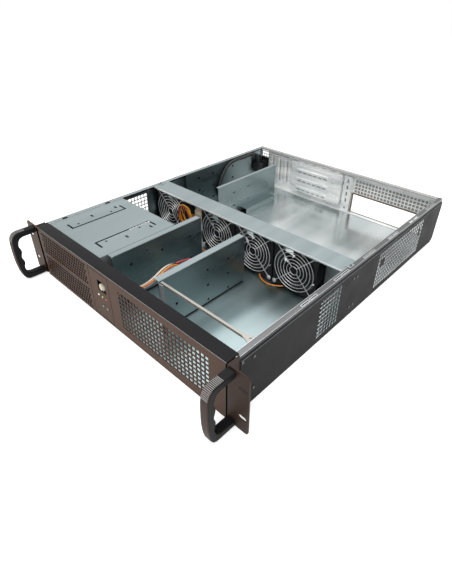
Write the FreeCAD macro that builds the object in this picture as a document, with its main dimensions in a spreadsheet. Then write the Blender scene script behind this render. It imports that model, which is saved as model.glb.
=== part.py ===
import FreeCAD, Part
import math
import os
import Sketcher
from FreeCAD import Placement, Rotation, Vector

# An open two-unit rackmount case: folded steel, perforated front, four fans, no lid.
# X runs to the right seen from the front, Y from the front to the back, Z up.
# The origin is the middle of the whole case's footprint, on the surface it rests on.

SIZES = {
    # overall
    "body_width": 428.0,
    "case_height": 88.0,
    "case_depth": 560.0,
    "shell_metal": 1.2,
    "inner_metal": 1.2,
    # side walls and their rails
    "wall_front": 17.0,
    "wall_step_drop": 8.4,
    "wall_step": 1.8,
    "rail_width": 7.8,
    "rail_slot_start": 130.0,
    "rail_slot_pitch": 74.6,
    "rail_slot_length": 30.0,
    "rail_slot_width": 2.0,
    "rail_slot_groups": 6,
    # side vents
    "vent_pitch": 23.0,
    "vent_hole": 17.5,
    "vent_low": 11.0,
    "vent_high": 75.0,
    "front_vent_start": 168.0,
    "front_vent_length": 51.0,
    "rear_vent_start": 326.0,
    "rear_vent_length": 156.0,
    # front bezel
    "bezel_width": 420.6,
    "bezel_metal": 1.5,
    "bezel_top_depth": 19.5,
    "bezel_return": 14.0,
    "coarse_left": 15.0,
    "coarse_right": 180.0,
    "coarse_low": 15.0,
    "coarse_high": 75.0,
    "coarse_pitch": 18.0,
    "coarse_hole": 12.6,
    "fine_left": -193.0,
    "fine_right": -67.0,
    "fine_low": 6.0,
    "fine_bar_low": 39.0,
    "fine_bar_high": 49.0,
    "fine_high": 82.0,
    "fine_pitch": 18.0,
    "fine_hole": 11.4,
    # control plate let into the bezel
    "control_left": -58.0,
    "control_width": 48.0,
    "control_low": 4.0,
    "control_height": 80.0,
    "control_gap": 0.4,
    "control_flange": 3.0,
    "power_button_x": -27.5,
    "power_button_z": 62.0,
    "power_button_radius": 6.5,
    "button_clearance": 0.5,
    "button_travel": 1.5,
    "lamp_first_x": -39.4,
    "lamp_pitch": 9.4,
    "lamp_z": 44.0,
    "lamp_radius": 1.6,
    "small_button_left_x": -31.5,
    "small_button_right_x": -21.0,
    "small_button_z": 27.5,
    "small_button_radius": 2.0,
    "control_board_depth": 8.5,
    "board_metal": 1.6,
    # rack ears
    "ear_metal": 2.0,
    "ear_flange_depth": 30.0,
    "ear_corner": 4.0,
    "ear_width": 30.5,
    "rack_slot_edge": 8.75,
    "rack_slot_low": 21.8,
    "rack_slot_rise": 44.45,
    "rack_slot_length": 12.0,
    "rack_slot_width": 6.8,
    # bow handles on the ears
    "handle_width": 12.0,
    "handle_offset": 0.6,
    "handle_reach": 41.0,
    "handle_low": 1.0,
    "handle_drop": 2.0,
    "handle_arm": 9.0,
    "handle_bar": 11.0,
    "finger_pitch": 20.0,
    "finger_radius": 9.6,
    "finger_depth": 2.6,
    # drive cage and the partition beside it
    "cage_left": -203.0,
    "cage_right": -58.2,
    "cage_front": 21.0,
    "cage_back": 158.0,
    "cage_foot": 10.0,
    "drive_slot_width": 1.6,
    "drive_left_edge": 39.5,
    "drive_left_turn": 22.0,
    "drive_right_edge": 40.3,
    "drive_right_turn": 21.8,
    "drive_slot_start": 18.0,
    "drive_slot_end": 21.0,
    "cage_partition_x": -46.0,
    "cage_partition_front": 32.0,
    "cage_partition_back": 204.0,
    "partition_flange": 11.6,
    # centre partition and cross brace
    "centre_x": 46.2,
    "centre_front": 42.0,
    "centre_back": 210.0,
    "centre_drop": 2.0,
    "centre_flange": 12.0,
    "centre_end_flange": 20.0,
    "brace_drop": 3.0,
    "brace_width": 5.5,
    "brace_gusset": 15.0,
    "brace_gusset_length": 18.0,
    # fan wall
    "beam_front": 231.0,
    "fan_plate_y": 265.0,
    "beam_lip": 4.0,
    "beam_gap": 0.4,
    "fan_foot": 12.0,
    "cable_gap_left": -118.0,
    "cable_gap_right": -90.0,
    "cable_gap_low": 12.0,
    "cable_gap_high": 72.0,
    # fans
    "fan_size": 80.0,
    "fan_depth": 25.0,
    "fan_lip": 4.0,
    "fan_bore": 77.0,
    "fan_screw_span": 71.5,
    "fan_first_x": -168.0,
    "fan_second_x": -43.6,
    "fan_pitch": 82.8,
    "fan_z": 43.8,
    "rotor_radius": 34.9,
    "hub_radius": 17.0,
    "hub_depth": 17.0,
    "dimple_radius": 2.0,
    "dimple_depth": 2.0,
    "motor_depth": 4.0,
    "motor_gap": 0.6,
    "blade_metal": 1.6,
    "guard_wire": 1.6,
    "guard_first_ring": 10.0,
    "guard_ring_pitch": 10.1,
    # power supply bay
    "bay_x": -130.0,
    "bay_start_gap": 231.0,
    "bay_end_gap": 51.0,
    "bay_height": 74.0,
    "bay_flange": 7.0,
    "bay_step_height": 11.0,
    "bay_step_width": 15.0,
    "bay_step_start_gap": 162.0,
    "bay_step_end_gap": 68.0,
    "bay_plate_start_gap": 248.0,
    "bay_plate_end_gap": 48.0,
    # rear panel
    "rear_metal": 1.2,
    "rear_flange": 12.0,
    "io_left": 40.0,
    "io_width": 158.75,
    "io_low": 2.6,
    "io_height": 40.0,
    "rear_vent_pitch": 7.2,
    "rear_vent_hole": 4.8,
    "rear_strip_left": 41.0,
    "rear_strip_columns": 22,
    "rear_strip_low": 47.0,
    "corner_vent_left": -208.5,
    "corner_vent_low": 66.0,
    # expansion slots
    "slot_pitch": 20.32,
    "upright_first_x": -177.6,
    "upright_low": 8.0,
    "upright_drop": 9.0,
    "cover_width": 18.4,
    "cover_metal": 0.9,
    "slot_width": 13.0,
    "riser_left": -113.0,
    "riser_right": 15.0,
    "riser_low": 13.0,
    "riser_drop": 9.0,
    "riser_reach": 12.0,
    "riser_first_z": 24.5,
    "riser_slot_left": -101.0,
    "riser_slot_right": -14.0,
    "strap_left": 17.0,
    "strap_right": 36.0,
    "strap_reach": 6.0,
    # power inlet and its lead
    "inlet_x": -200.0,
    "inlet_z": 45.0,
    "inlet_width": 19.0,
    "inlet_height": 27.0,
    "inlet_reach": 18.0,
    "lead_radius": 3.4,
    "bundle_radius": 5.0,
    "wire_radius": 1.8,
}

doc = FreeCAD.newDocument("rackmount_case")
sheet = doc.addObject("Spreadsheet::Sheet", "Sheet")
for row, (alias, number) in enumerate(SIZES.items(), start=1):
    sheet.set(f"A{row}", alias)
    sheet.set(f"B{row}", str(number))
    sheet.setAlias(f"B{row}", alias)
doc.recompute()


class Size:
    """A length that keeps both its number and the sheet expression that gives it."""

    def __init__(self, number, text):
        self.number = float(number)
        self.text = text

    def __float__(self):
        return self.number

    def __neg__(self):
        return Size(-self.number, f"(0 - {self.text})")

    def __add__(self, other):
        other = size(other)
        return Size(self.number + other.number, f"({self.text} + {other.text})")

    def __sub__(self, other):
        other = size(other)
        return Size(self.number - other.number, f"({self.text} - {other.text})")

    def __mul__(self, other):
        other = size(other)
        return Size(self.number * other.number, f"({self.text} * {other.text})")

    def __truediv__(self, other):
        other = size(other)
        return Size(self.number / other.number, f"({self.text} / {other.text})")

    __radd__ = __add__
    __rmul__ = __mul__

    def __rsub__(self, other):
        return size(other) - self


def size(value):
    """Any plain number as a Size."""
    if isinstance(value, Size):
        return value
    return Size(value, f"{float(value):.6f}")


class Sheet:
    """The driving dimensions, each read from its cell by its alias."""

    def __getattr__(self, alias):
        return Size(getattr(sheet, alias), f"Sheet.{alias}")


d = Sheet()
parts = {}


def keep(thing, name):
    """Names a finished piece and puts it on the list of what is written out."""
    thing.Label = name
    parts[name] = thing
    return thing


# Sketches, pads and cuts

NORMAL_SIGN = {"XY": 1, "XZ": -1, "YZ": 1}


def new_sketch(body, plane, distance):
    """A sketch in the body, parallel to one of its origin planes, at a row coordinate."""
    sketch = body.newObject("Sketcher::SketchObject", f"{body.Name}_{plane}_sketch")
    for feature in body.Origin.OriginFeatures:
        if feature.Role == f"{plane}_Plane":
            sketch.AttachmentSupport = [(feature, "")]
    sketch.MapMode = "FlatFace"
    offset = distance * NORMAL_SIGN[plane]
    sketch.AttachmentOffset = Placement(Vector(0, 0, offset.number), Rotation())
    sketch.setExpression("AttachmentOffset.Base.z", offset.text)
    return sketch


def pin_points(sketch, places):
    """Holds sketch points at their distances from the sketch's origin."""
    pins = []
    amounts = []
    for geometry, point, u, v in places:
        for kind, amount in (("DistanceX", u), ("DistanceY", v)):
            pins.append(Sketcher.Constraint(kind, -1, 1, geometry, point, amount.number))
            amounts.append(amount)
    indices = sketch.addConstraint(pins)
    for index, amount in zip(indices, amounts):
        sketch.setExpression(f"Constraints[{index}]", amount.text)


def draw_polygon(sketch, corners, pinned=True):
    """A closed outline, each corner held at its place or just drawn there."""
    corners = [(size(u), size(v)) for u, v in corners]
    first = sketch.GeometryCount
    lines = []
    for here, there in zip(corners, corners[1:] + corners[:1]):
        start = Vector(float(here[0]), float(here[1]), 0)
        end = Vector(float(there[0]), float(there[1]), 0)
        lines.append(Part.LineSegment(start, end))
    sketch.addGeometry(lines, False)
    count = len(corners)
    joins = []
    for i in range(count):
        joins.append(Sketcher.Constraint("Coincident", first + i, 2, first + (i + 1) % count, 1))
    sketch.addConstraint(joins)
    if pinned:
        pin_points(sketch, [(first + i, 1, u, v) for i, (u, v) in enumerate(corners)])


def draw_circle(sketch, u, v, radius):
    u, v, radius = size(u), size(v), size(radius)
    centre = Vector(float(u), float(v), 0)
    index = sketch.addGeometry(Part.Circle(centre, Vector(0, 0, 1), float(radius)), False)
    pin_points(sketch, [(index, 3, u, v)])
    held = sketch.addConstraint(Sketcher.Constraint("Radius", index, float(radius)))
    sketch.setExpression(f"Constraints[{held}]", radius.text)


def polygon_round(u, v, radius, sides):
    """The corners of a regular polygon that stands for a circle, with flats above and below."""
    corners = []
    for step in range(sides):
        angle = 2 * math.pi * (step + 0.5) / sides - math.pi / 2
        corners.append((u + radius * math.cos(angle), v + radius * math.sin(angle)))
    return corners


def sides_for(radius):
    """Small round forms get few flats and large ones more, so that the model stays light."""
    return 6 if float(radius) < 3 else 12


def draw_round(sketch, u, v, radius):
    u, v, radius = size(u), size(v), size(radius)
    draw_polygon(sketch, polygon_round(u, v, radius, sides_for(radius)), pinned=False)


def rectangle(left, low, right, high):
    return [(left, low), (right, low), (right, high), (left, high)]


def add_slab(body, plane, start, end, corners, holes=(), windows=()):
    """Pads an outline from one row coordinate to another, with round holes and windows in it."""
    start, end = size(start), size(end)
    begin = start if NORMAL_SIGN[plane] > 0 else end
    sketch = new_sketch(body, plane, begin)
    draw_polygon(sketch, corners)
    for window in windows:
        draw_polygon(sketch, window)
    for u, v, radius in holes:
        draw_round(sketch, u, v, radius)
    pad = body.newObject("PartDesign::Pad", f"{body.Name}_pad")
    pad.Profile = sketch
    thickness = end - start
    pad.Length = thickness.number
    pad.setExpression("Length", thickness.text)
    doc.recompute()
    return pad


def add_disc(body, plane, start, end, u, v, radius, holes=()):
    """Pads a disc, or a ring where it has a hole, between two row coordinates."""
    start, end = size(start), size(end)
    begin = start if NORMAL_SIGN[plane] > 0 else end
    sketch = new_sketch(body, plane, begin)
    draw_round(sketch, u, v, radius)
    for hole in holes:
        draw_round(sketch, *hole)
    pad = body.newObject("PartDesign::Pad", f"{body.Name}_pad")
    pad.Profile = sketch
    thickness = end - start
    pad.Length = thickness.number
    pad.setExpression("Length", thickness.text)
    doc.recompute()
    return pad


def edges_where(shape, test):
    """The names of the straight edges whose two ends pass a test."""
    names = []
    for number, edge in enumerate(shape.Edges, start=1):
        if len(edge.Vertexes) == 2 and test(edge.Vertexes[0].Point, edge.Vertexes[1].Point):
            names.append(f"Edge{number}")
    return names


def round_edges(body, radius, test):
    """Fillets the edges of the body's last feature that pass a test."""
    base = body.Tip
    names = edges_where(base.Shape, test)
    fillet = body.newObject("PartDesign::Fillet", f"{body.Name}_fillet")
    fillet.Base = (base, names)
    radius = size(radius)
    fillet.Radius = radius.number
    fillet.setExpression("Radius", radius.text)
    doc.recompute()
    return fillet


def new_body(name):
    body = doc.addObject("PartDesign::Body", name)
    body.Label = name
    return body


def block(left, right, front, back, low, high):
    """A plain block between row coordinates, for cutting or for small pieces."""
    left, right, front, back, low, high = (float(v) for v in (left, right, front, back, low, high))
    return Part.makeBox(right - left, back - front, high - low, Vector(left, front, low))


def rod(x, y, z, axis, radius, length):
    """A plain cylinder that starts at a point and runs along an axis."""
    return Part.makeCylinder(float(radius), float(length), Vector(float(x), float(y), float(z)), axis)


def shaped(name, shapes):
    """A feature that holds several plain shapes together, each worked out from the sheet."""
    feature = doc.addObject("Part::Feature", name)
    feature.Shape = Part.makeCompound(shapes)
    return feature


def cut_piece(name, base, cutters):
    """A finished piece: a base with the cutters' shapes taken out of it."""
    tool = shaped(f"{name}_cutters", cutters)
    cut = doc.addObject("Part::Cut", f"{name}_cut")
    cut.Base = base
    cut.Tool = tool
    base.Label = f"{name}_blank"
    return keep(cut, name)


ALONG_X = Vector(1, 0, 0)
ALONG_Y = Vector(0, 1, 0)
ALONG_Z = Vector(0, 0, 1)

# Planes that many pieces share

front_y = (d.handle_reach - d.case_depth) / 2
rear_y = front_y + d.case_depth
half_body = d.body_width / 2
wall_inner = half_body - d.shell_metal
recess_outer = half_body - d.wall_step
recess_inner = recess_outer - d.shell_metal
rail_top = d.case_height - d.bezel_metal
rail_inner = recess_outer - d.rail_width
floor_top = d.shell_metal
half_bezel = d.bezel_width / 2
ear_inner = wall_inner - d.ear_metal
ear_outer = ear_inner + d.ear_width
bezel_back = front_y + d.bezel_metal
cutter_reach = d.shell_metal * 4


def back(distance):
    """The row coordinate of a distance behind the bezel's front face."""
    return front_y + distance


# Chassis: floor, both side walls and their lid rails, folded from one sheet


def mirrored_profile(half):
    """A section symmetric about the middle, from its right half."""
    return half + [(-size(u), v) for u, v in reversed(half)]


def build_chassis():
    blank = new_body("chassis_tub")
    outer_half = [
        (half_body, 0),
        (half_body, (d.case_height - d.wall_step_drop)),
        (recess_outer, (d.case_height - d.wall_step_drop) + d.shell_metal),
        (recess_outer, rail_top),
        (rail_inner, rail_top),
        (rail_inner, rail_top - d.shell_metal),
        (recess_inner, rail_top - d.shell_metal),
        (recess_inner, (d.case_height - d.wall_step_drop)),
        (wall_inner, (d.case_height - d.wall_step_drop) - d.shell_metal),
        (wall_inner, floor_top),
    ]
    add_slab(blank, "XZ", back(d.wall_front), rear_y, mirrored_profile(outer_half))
    tongue = rectangle(-ear_inner, bezel_back, ear_inner, back(d.wall_front))
    add_slab(blank, "XY", 0, floor_top, tongue)
    width, low_tolerance = float(half_body), 0.01
    round_edges(
        blank,
        d.shell_metal * 0.9,
        lambda a, b: abs(a.z) < low_tolerance
        and abs(b.z) < low_tolerance
        and abs(abs(a.x) - width) < low_tolerance
        and abs(abs(b.x) - width) < low_tolerance,
    )
    cutters = []
    for side in (-1, 1):
        wall = min(side * float(half_body), side * float(wall_inner)) - float(d.shell_metal)
        for start, length in (
            (d.front_vent_start, d.front_vent_length),
            (d.rear_vent_start, d.rear_vent_length),
        ):
            cutters += vent_cutters(wall, start, length)
        cutters += rail_cutters(side)
    return cut_piece("chassis_tub", blank, cutters)


def vent_cutters(wall, start, length):
    """Square holes in rows over one vent field of a side wall."""
    pitch, hole = float(d.vent_pitch), float(d.vent_hole)
    columns = int(float(length) // pitch)
    rows = int((float(d.vent_high) - float(d.vent_low)) // pitch)
    first_y = float(back(start)) + (float(length) - columns * pitch + pitch - hole) / 2
    height = float(d.vent_high) - float(d.vent_low)
    first_z = float(d.vent_low) + (height - rows * pitch + pitch - hole) / 2
    holes = []
    for column in range(columns):
        for row in range(rows):
            y = first_y + column * pitch
            z = first_z + row * pitch
            holes.append(block(wall, wall + float(cutter_reach), y, y + hole, z, z + hole))
    return holes


def rail_cutters(side):
    """Slots in a rail, where the lid's hooks drop in."""
    middle = side * float(rail_inner + d.rail_width * 0.55)
    half_slot = float(d.rail_slot_width) / 2
    low, high = float(rail_top - d.shell_metal * 2), float(rail_top + d.shell_metal)
    slots = []
    for group in range(int(float(d.rail_slot_groups))):
        start = float(back(d.rail_slot_start)) + group * float(d.rail_slot_pitch)
        end = start + float(d.rail_slot_length)
        slots.append(block(middle - half_slot, middle + half_slot, start, end, low, high))
    return slots


# Front bezel: one folded plate with two kinds of perforation and a bay for the controls


def staggered_holes(left, right, low, high, pitch, hole):
    """Square holes, every other row shifted by half a pitch, through the bezel's front."""
    left, right, low, high, pitch, hole = (float(v) for v in (left, right, low, high, pitch, hole))
    rows = int((high - low) // pitch)
    columns = int((right - left) // pitch)
    front = float(front_y) - 1
    first_z = low + (high - low - rows * pitch + pitch - hole) / 2
    first_x = left + (right - left - columns * pitch + pitch - hole) / 2
    holes = []
    for row in range(rows):
        shift = pitch / 2 if row % 2 else 0
        for column in range(columns - row % 2):
            x = first_x + shift + column * pitch
            z = first_z + row * pitch
            holes.append(block(x, x + hole, front, float(bezel_back) + 1, z, z + hole))
    return holes


def build_bezel():
    blank = new_body("front_bezel")
    bay = rectangle(
        d.control_left,
        d.control_low,
        d.control_left + d.control_width,
        d.control_low + d.control_height,
    )
    front = rectangle(-half_bezel, 0, half_bezel, d.case_height)
    add_slab(blank, "XZ", front_y, bezel_back, front, windows=[bay])
    under_top = d.case_height - d.bezel_metal
    top = rectangle(-half_bezel, front_y, half_bezel, back(d.bezel_top_depth))
    add_slab(blank, "XY", under_top, d.case_height, top)
    foot = rectangle(-half_bezel, front_y, half_bezel, back(d.bezel_return))
    add_slab(blank, "XY", floor_top, floor_top + d.bezel_metal, foot)
    for side in (-1, 1):
        edge = half_bezel * side
        inner = (half_bezel - d.bezel_metal) * side
        start, end = (edge, inner) if side < 0 else (inner, edge)
        cheek = rectangle(front_y, floor_top, back(d.bezel_return), under_top)
        add_slab(blank, "YZ", start, end, cheek)
    front_plane, top_plane = float(front_y), float(d.case_height)
    round_edges(
        blank,
        d.bezel_metal * 0.8,
        lambda a, b: abs(a.y - front_plane) < 0.01
        and abs(b.y - front_plane) < 0.01
        and abs(a.z - top_plane) < 0.01
        and abs(b.z - top_plane) < 0.01,
    )
    holes = staggered_holes(
        d.coarse_left, d.coarse_right, d.coarse_low, d.coarse_high, d.coarse_pitch, d.coarse_hole
    )
    for low, high in ((d.fine_low, d.fine_bar_low), (d.fine_bar_high, d.fine_high)):
        holes += staggered_holes(d.fine_left, d.fine_right, low, high, d.fine_pitch, d.fine_hole)
    return cut_piece("front_bezel", blank, holes)


# Control plate with its button holes and lamp holes, the board behind it, buttons and lamps

lamp_places = [(d.lamp_first_x + d.lamp_pitch * step, d.lamp_z) for step in range(3)]
small_buttons = {
    "mute_button": d.small_button_left_x,
    "reset_button": d.small_button_right_x,
}
plate_back = bezel_back + d.bezel_metal
board_front = back(d.control_board_depth)
board_back = board_front + d.board_metal
control_right = d.control_left + d.control_width
control_high = d.control_low + d.control_height


def build_control_plate():
    plate = keep(new_body("control_plate"), "control_plate")
    holes = [
        (d.power_button_x, d.power_button_z, d.power_button_radius + d.button_clearance),
    ]
    for x, z in lamp_places:
        holes.append((x, z, d.lamp_radius + 0.1))
    for x in small_buttons.values():
        holes.append((x, d.small_button_z, d.small_button_radius + d.button_clearance))
    inset = rectangle(
        d.control_left + d.control_gap,
        d.control_low + d.control_gap,
        control_right - d.control_gap,
        control_high - d.control_gap,
    )
    add_slab(plate, "XZ", front_y, plate_back, inset, holes=holes)
    flange = rectangle(
        d.control_left - d.control_flange,
        d.control_low + d.control_gap,
        control_right + d.control_flange,
        control_high - d.control_gap,
    )
    add_slab(plate, "XZ", bezel_back, plate_back, flange, holes=holes)
    for x in (d.control_left + 4, control_right - 4):
        for z in (d.lamp_z - 22, d.lamp_z + 32):
            add_disc(plate, "XZ", plate_back, board_front, x, z, 1.8)


def build_control_board():
    """The small board carries the lamps and the switch bodies that the buttons press."""
    board = keep(new_body("control_board"), "control_board")
    outline = rectangle(
        d.control_left + 2, d.lamp_z - 26, control_right - 2, d.lamp_z + 36
    )
    add_slab(board, "XZ", board_front, board_back, outline)
    switch_front = board_front - 1.6
    places = [(d.power_button_x, d.power_button_z)]
    places += [(x, d.small_button_z) for x in small_buttons.values()]
    for x, z in places:
        body = rectangle(x - 3, z - 3, x + 3, z + 3)
        add_slab(board, "XZ", switch_front, board_front, body)


def build_button(name, x, z, radius):
    """A round cap that stands just proud of the plate, with a collar behind it."""
    cap = keep(new_body(name), name)
    proud = front_y - 1.0
    collar_front = plate_back + 0.1
    collar_back = board_front - 1.6 - d.button_travel - 0.1
    add_disc(cap, "XZ", proud, collar_back, x, z, radius)
    add_disc(cap, "XZ", collar_front, collar_front + 0.8, x, z, radius + d.button_clearance + 0.8)


def build_lamps():
    """Three round lamps whose domed tips look out of the plate."""
    for name, (x, z) in zip(("lamp_white", "lamp_green", "lamp_red"), lamp_places):
        lamp = keep(new_body(name), name)
        add_disc(lamp, "XZ", front_y - 0.5, board_front, x, z, d.lamp_radius)
        add_disc(lamp, "XZ", plate_back + 0.1, plate_back + 1.1, x, z, d.lamp_radius + 0.5)


# Rack ears and their bow handles


def build_ear(name, side):
    """An angle bracket: the slotted ear in front, and a flange inside the chassis wall."""
    blank = new_body(name)
    inner, outer = ear_inner * side, ear_outer * side
    left, right = (inner, outer) if side > 0 else (outer, inner)
    ear = rectangle(left, 0, right, d.case_height)
    add_slab(blank, "XZ", front_y, front_y + d.ear_metal, ear)
    corner_x, tall = float(outer), float(d.case_height)
    round_edges(
        blank,
        d.ear_corner,
        lambda a, b: abs(a.x - corner_x) < 0.01
        and abs(b.x - corner_x) < 0.01
        and abs(a.z - b.z) < 0.01
        and (abs(a.z) < 0.01 or abs(a.z - tall) < 0.01),
    )
    step = back(d.wall_front)
    under_step = (d.case_height - d.wall_step_drop) - d.shell_metal * 1.5
    flange = [
        (front_y, 0),
        (step, 0),
        (step, floor_top),
        (back(d.ear_flange_depth), floor_top),
        (back(d.ear_flange_depth), under_step),
        (step, under_step),
        (step, d.case_height),
        (front_y, d.case_height),
    ]
    wall = wall_inner * side
    start, end = (inner, wall) if side > 0 else (wall, inner)
    add_slab(blank, "YZ", start, end, flange)
    half_width = float(d.rack_slot_width) / 2
    straight = float(d.rack_slot_length) - 2 * half_width
    middle = side * float(ear_outer - d.rack_slot_edge)
    cutters = []
    front = float(front_y) - 1
    reach = float(d.ear_metal) + 2
    for z in (float(d.rack_slot_low), float(d.rack_slot_low + d.rack_slot_rise)):
        bar = block(middle - straight / 2, middle + straight / 2, front, front + reach, z - half_width, z + half_width)
        ends = [rod(middle + shift, front, z, ALONG_Y, half_width, reach) for shift in (-straight / 2, straight / 2)]
        cutters.append(bar.multiFuse(ends))
    return cut_piece(name, blank, cutters)


def build_handle(name, side):
    """A bowed bar on two arms, with hollows for three fingers inside the bow."""
    handle = keep(new_body(name), name)
    near = (ear_inner + d.handle_offset) * side
    far = (ear_inner + d.handle_offset + d.handle_width) * side
    start, end = (near, far) if side > 0 else (far, near)
    reach = front_y - d.handle_reach
    middle = (d.handle_low + (d.case_height - d.handle_drop)) / 2
    inner_y = reach + d.handle_bar
    outline = [
        (front_y, (d.case_height - d.handle_drop)),
        (reach + 6, (d.case_height - d.handle_drop)),
        (reach, middle + 20),
        (reach, middle - 4),
        (reach + 8, d.handle_low),
        (front_y, d.handle_low),
        (front_y, d.handle_low + d.handle_arm),
        (inner_y + 2, d.handle_low + d.handle_arm + 1.5),
        (inner_y, middle),
        (inner_y, (d.case_height - d.handle_drop) - d.handle_arm - 1.5),
        (front_y, (d.case_height - d.handle_drop) - d.handle_arm),
    ]
    add_slab(handle, "YZ", start, end, outline)
    corner_points = {1: 12.0, 2: 40.0, 3: 60.0, 4: 9.0, 7: 5.0, 9: 5.0}
    for index, radius in corner_points.items():
        y, z = (float(v) for v in outline[index])
        round_edges(
            handle,
            radius,
            lambda a, b, y=y, z=z: abs(a.y - y) < 0.01
            and abs(b.y - y) < 0.01
            and abs(a.z - z) < 0.01
            and abs(b.z - z) < 0.01,
        )
    pocket_sketch = new_sketch(handle, "YZ", start)
    for step in (-1, 0, 1):
        centre_y = inner_y + d.finger_radius - d.finger_depth
        draw_round(pocket_sketch, centre_y, middle + d.finger_pitch * step, d.finger_radius)
    hollows = handle.newObject("PartDesign::Pocket", f"{name}_hollows")
    hollows.Profile = pocket_sketch
    hollows.Type = "Length"
    hollows.Length = float(d.handle_width)
    hollows.setExpression("Length", d.handle_width.text)
    hollows.Reversed = True
    doc.recompute()


# Folded partitions and brackets inside the case


def build_cage():
    """An inverted channel that holds drives under its slotted top."""
    blank = new_body("drive_cage")
    left, right = d.cage_left, d.cage_right
    metal = d.inner_metal
    under = rail_top - metal
    profile = [
        (left, floor_top),
        (left, rail_top),
        (right, rail_top),
        (right, floor_top),
        (right - d.cage_foot, floor_top),
        (right - d.cage_foot, floor_top + metal),
        (right - metal, floor_top + metal),
        (right - metal, under),
        (left + metal, under),
        (left + metal, floor_top + metal),
        (left + d.cage_foot, floor_top + metal),
        (left + d.cage_foot, floor_top),
    ]
    add_slab(blank, "XZ", back(d.cage_front), back(d.cage_back), profile)
    low, high = float(under) - 1, float(rail_top) + 1
    wide = float(d.drive_slot_width) / 2
    cutters = []

    def slot(x0, x1, y0, y1):
        y0, y1 = float(back(y0)), float(back(y1))
        cutters.append(block(x0 - wide, x1 + wide, y0 - wide, y1 + wide, low, high))

    edges = (
        (d.cage_left + d.drive_left_edge, d.cage_left + d.drive_left_turn),
        (d.cage_right - d.drive_right_edge, d.cage_right - d.drive_right_turn),
    )
    for edge_x, turned_x in edges:
        edge_x, turned_x = float(edge_x), float(turned_x)
        start, end = float(d.cage_front + d.drive_slot_start), float(d.cage_back - d.drive_slot_end)
        slot(edge_x, edge_x, start, end)
        for y in (start, end):
            slot(min(edge_x, turned_x), max(edge_x, turned_x), y, y)
        for y in (83, 128):
            slot(turned_x - 2, turned_x + 2, y, y)
    for x in (-171.2, -91.7):
        for y in (53, 114):
            slot(x - 0.6, x + 0.6, y, y)
    return cut_piece("drive_cage", blank, cutters)


def build_partition(name, web_right, front, rear, top, flange, holes):
    """A web with its top flange and its foot turned to the left."""
    piece = keep(new_body(name), name)
    metal = d.inner_metal
    web_left = web_right - metal
    web = rectangle(back(front), floor_top, back(rear), top)
    add_slab(piece, "YZ", web_left, web_right, web, holes=[(back(y), z, 1.6) for y, z in holes])
    strip = rectangle(web_right - flange, back(front), web_right, back(rear))
    add_slab(piece, "XY", top - metal, top, strip)
    add_slab(piece, "XY", floor_top, floor_top + metal, strip)
    return piece


def build_partitions():
    cage_holes = [(62, 62), (62, 20), (120, 62), (120, 20), (178, 62), (178, 20)]
    build_partition(
        "cage_partition",
        d.cage_partition_x,
        d.cage_partition_front,
        d.cage_partition_back,
        rail_top,
        d.partition_flange,
        cage_holes,
    )
    centre_holes = [(69, 35)] + [(y, z) for y in (130, 173) for z in (8.7, 35.3, 62)]
    centre = build_partition(
        "centre_partition",
        d.centre_x,
        d.centre_front,
        d.centre_back,
        (d.case_height - d.centre_drop),
        d.centre_flange,
        centre_holes,
    )
    end = rectangle(
        d.centre_x - d.inner_metal, floor_top, d.centre_x + d.centre_end_flange, (d.case_height - d.brace_drop) - d.inner_metal
    )
    add_slab(centre, "XZ", back(d.centre_front), back(d.centre_front) + d.inner_metal, end)


def build_brace():
    """A strip from the centre partition to the right wall, flared where it is fixed there."""
    brace = keep(new_body("cross_brace"), "cross_brace")
    front = back(d.centre_front) + d.inner_metal + 0.2
    rear = front + d.brace_width
    middle = (front + rear) / 2
    left = d.centre_x + 0.2
    right = recess_inner - 0.2
    flare = right - d.brace_gusset_length
    strip = [
        (left, front),
        (flare, front),
        (right - 5, middle - d.brace_gusset / 2),
        (right, middle - d.brace_gusset / 2),
        (right, middle + d.brace_gusset / 2),
        (right - 5, middle + d.brace_gusset / 2),
        (flare, rear),
        (left, rear),
    ]
    add_slab(brace, "XY", (d.case_height - d.brace_drop) - d.inner_metal, (d.case_height - d.brace_drop), strip, holes=[(right - 9, middle, 1.8)])
    lip = rectangle(left, front, flare, front + d.inner_metal)
    add_slab(brace, "XY", (d.case_height - d.brace_drop) - 4, (d.case_height - d.brace_drop), lip)


def build_power_bay():
    """The partition beside the power supply, and the plate on the left wall beside it."""
    bay = build_partition(
        "bay_partition",
        d.bay_x,
        (d.case_depth - d.bay_start_gap),
        (d.case_depth - d.bay_end_gap),
        d.bay_height,
        d.bay_flange,
        [(374.5, 51.5), (418, 52.4), (374.8, 22.7), (419, 24.4)],
    )
    metal = d.inner_metal
    front, rear = back((d.case_depth - d.bay_step_start_gap)), back((d.case_depth - d.bay_step_end_gap))
    edge = d.bay_x + d.bay_step_width
    shelf = rectangle(d.bay_x - metal, front, edge, rear)
    add_slab(bay, "XY", d.bay_step_height - metal, d.bay_step_height, shelf)
    side = rectangle(front, floor_top, rear, d.bay_step_height)
    add_slab(bay, "YZ", edge - metal, edge, side)
    plate = keep(new_body("bay_side_plate"), "bay_side_plate")
    face = rectangle(back((d.case_depth - d.bay_plate_start_gap)), floor_top, back((d.case_depth - d.bay_plate_end_gap)), rail_top - metal)
    holes = [(back(y), z, 1.8) for y in (347, 388, 449) for z in (15.5, 42, 69)]
    outer = -rail_inner
    add_slab(plate, "YZ", outer - metal, outer, face, holes=holes)
    for start in (back((d.case_depth - d.bay_plate_start_gap)), back((d.case_depth - d.bay_plate_end_gap)) - metal):
        turned = rectangle(-wall_inner, floor_top, outer, (d.case_height - d.wall_step_drop) - d.shell_metal)
        add_slab(plate, "XZ", start, start + metal, turned)


# Fan wall and the four fans

fan_centres = [d.fan_first_x] + [d.fan_second_x + d.fan_pitch * step for step in range(3)]
fan_front = back(d.fan_plate_y) - d.fan_depth
fan_back = back(d.fan_plate_y)
beam_half = rail_inner - d.beam_gap
screw_shift = d.fan_screw_span / 2


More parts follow.
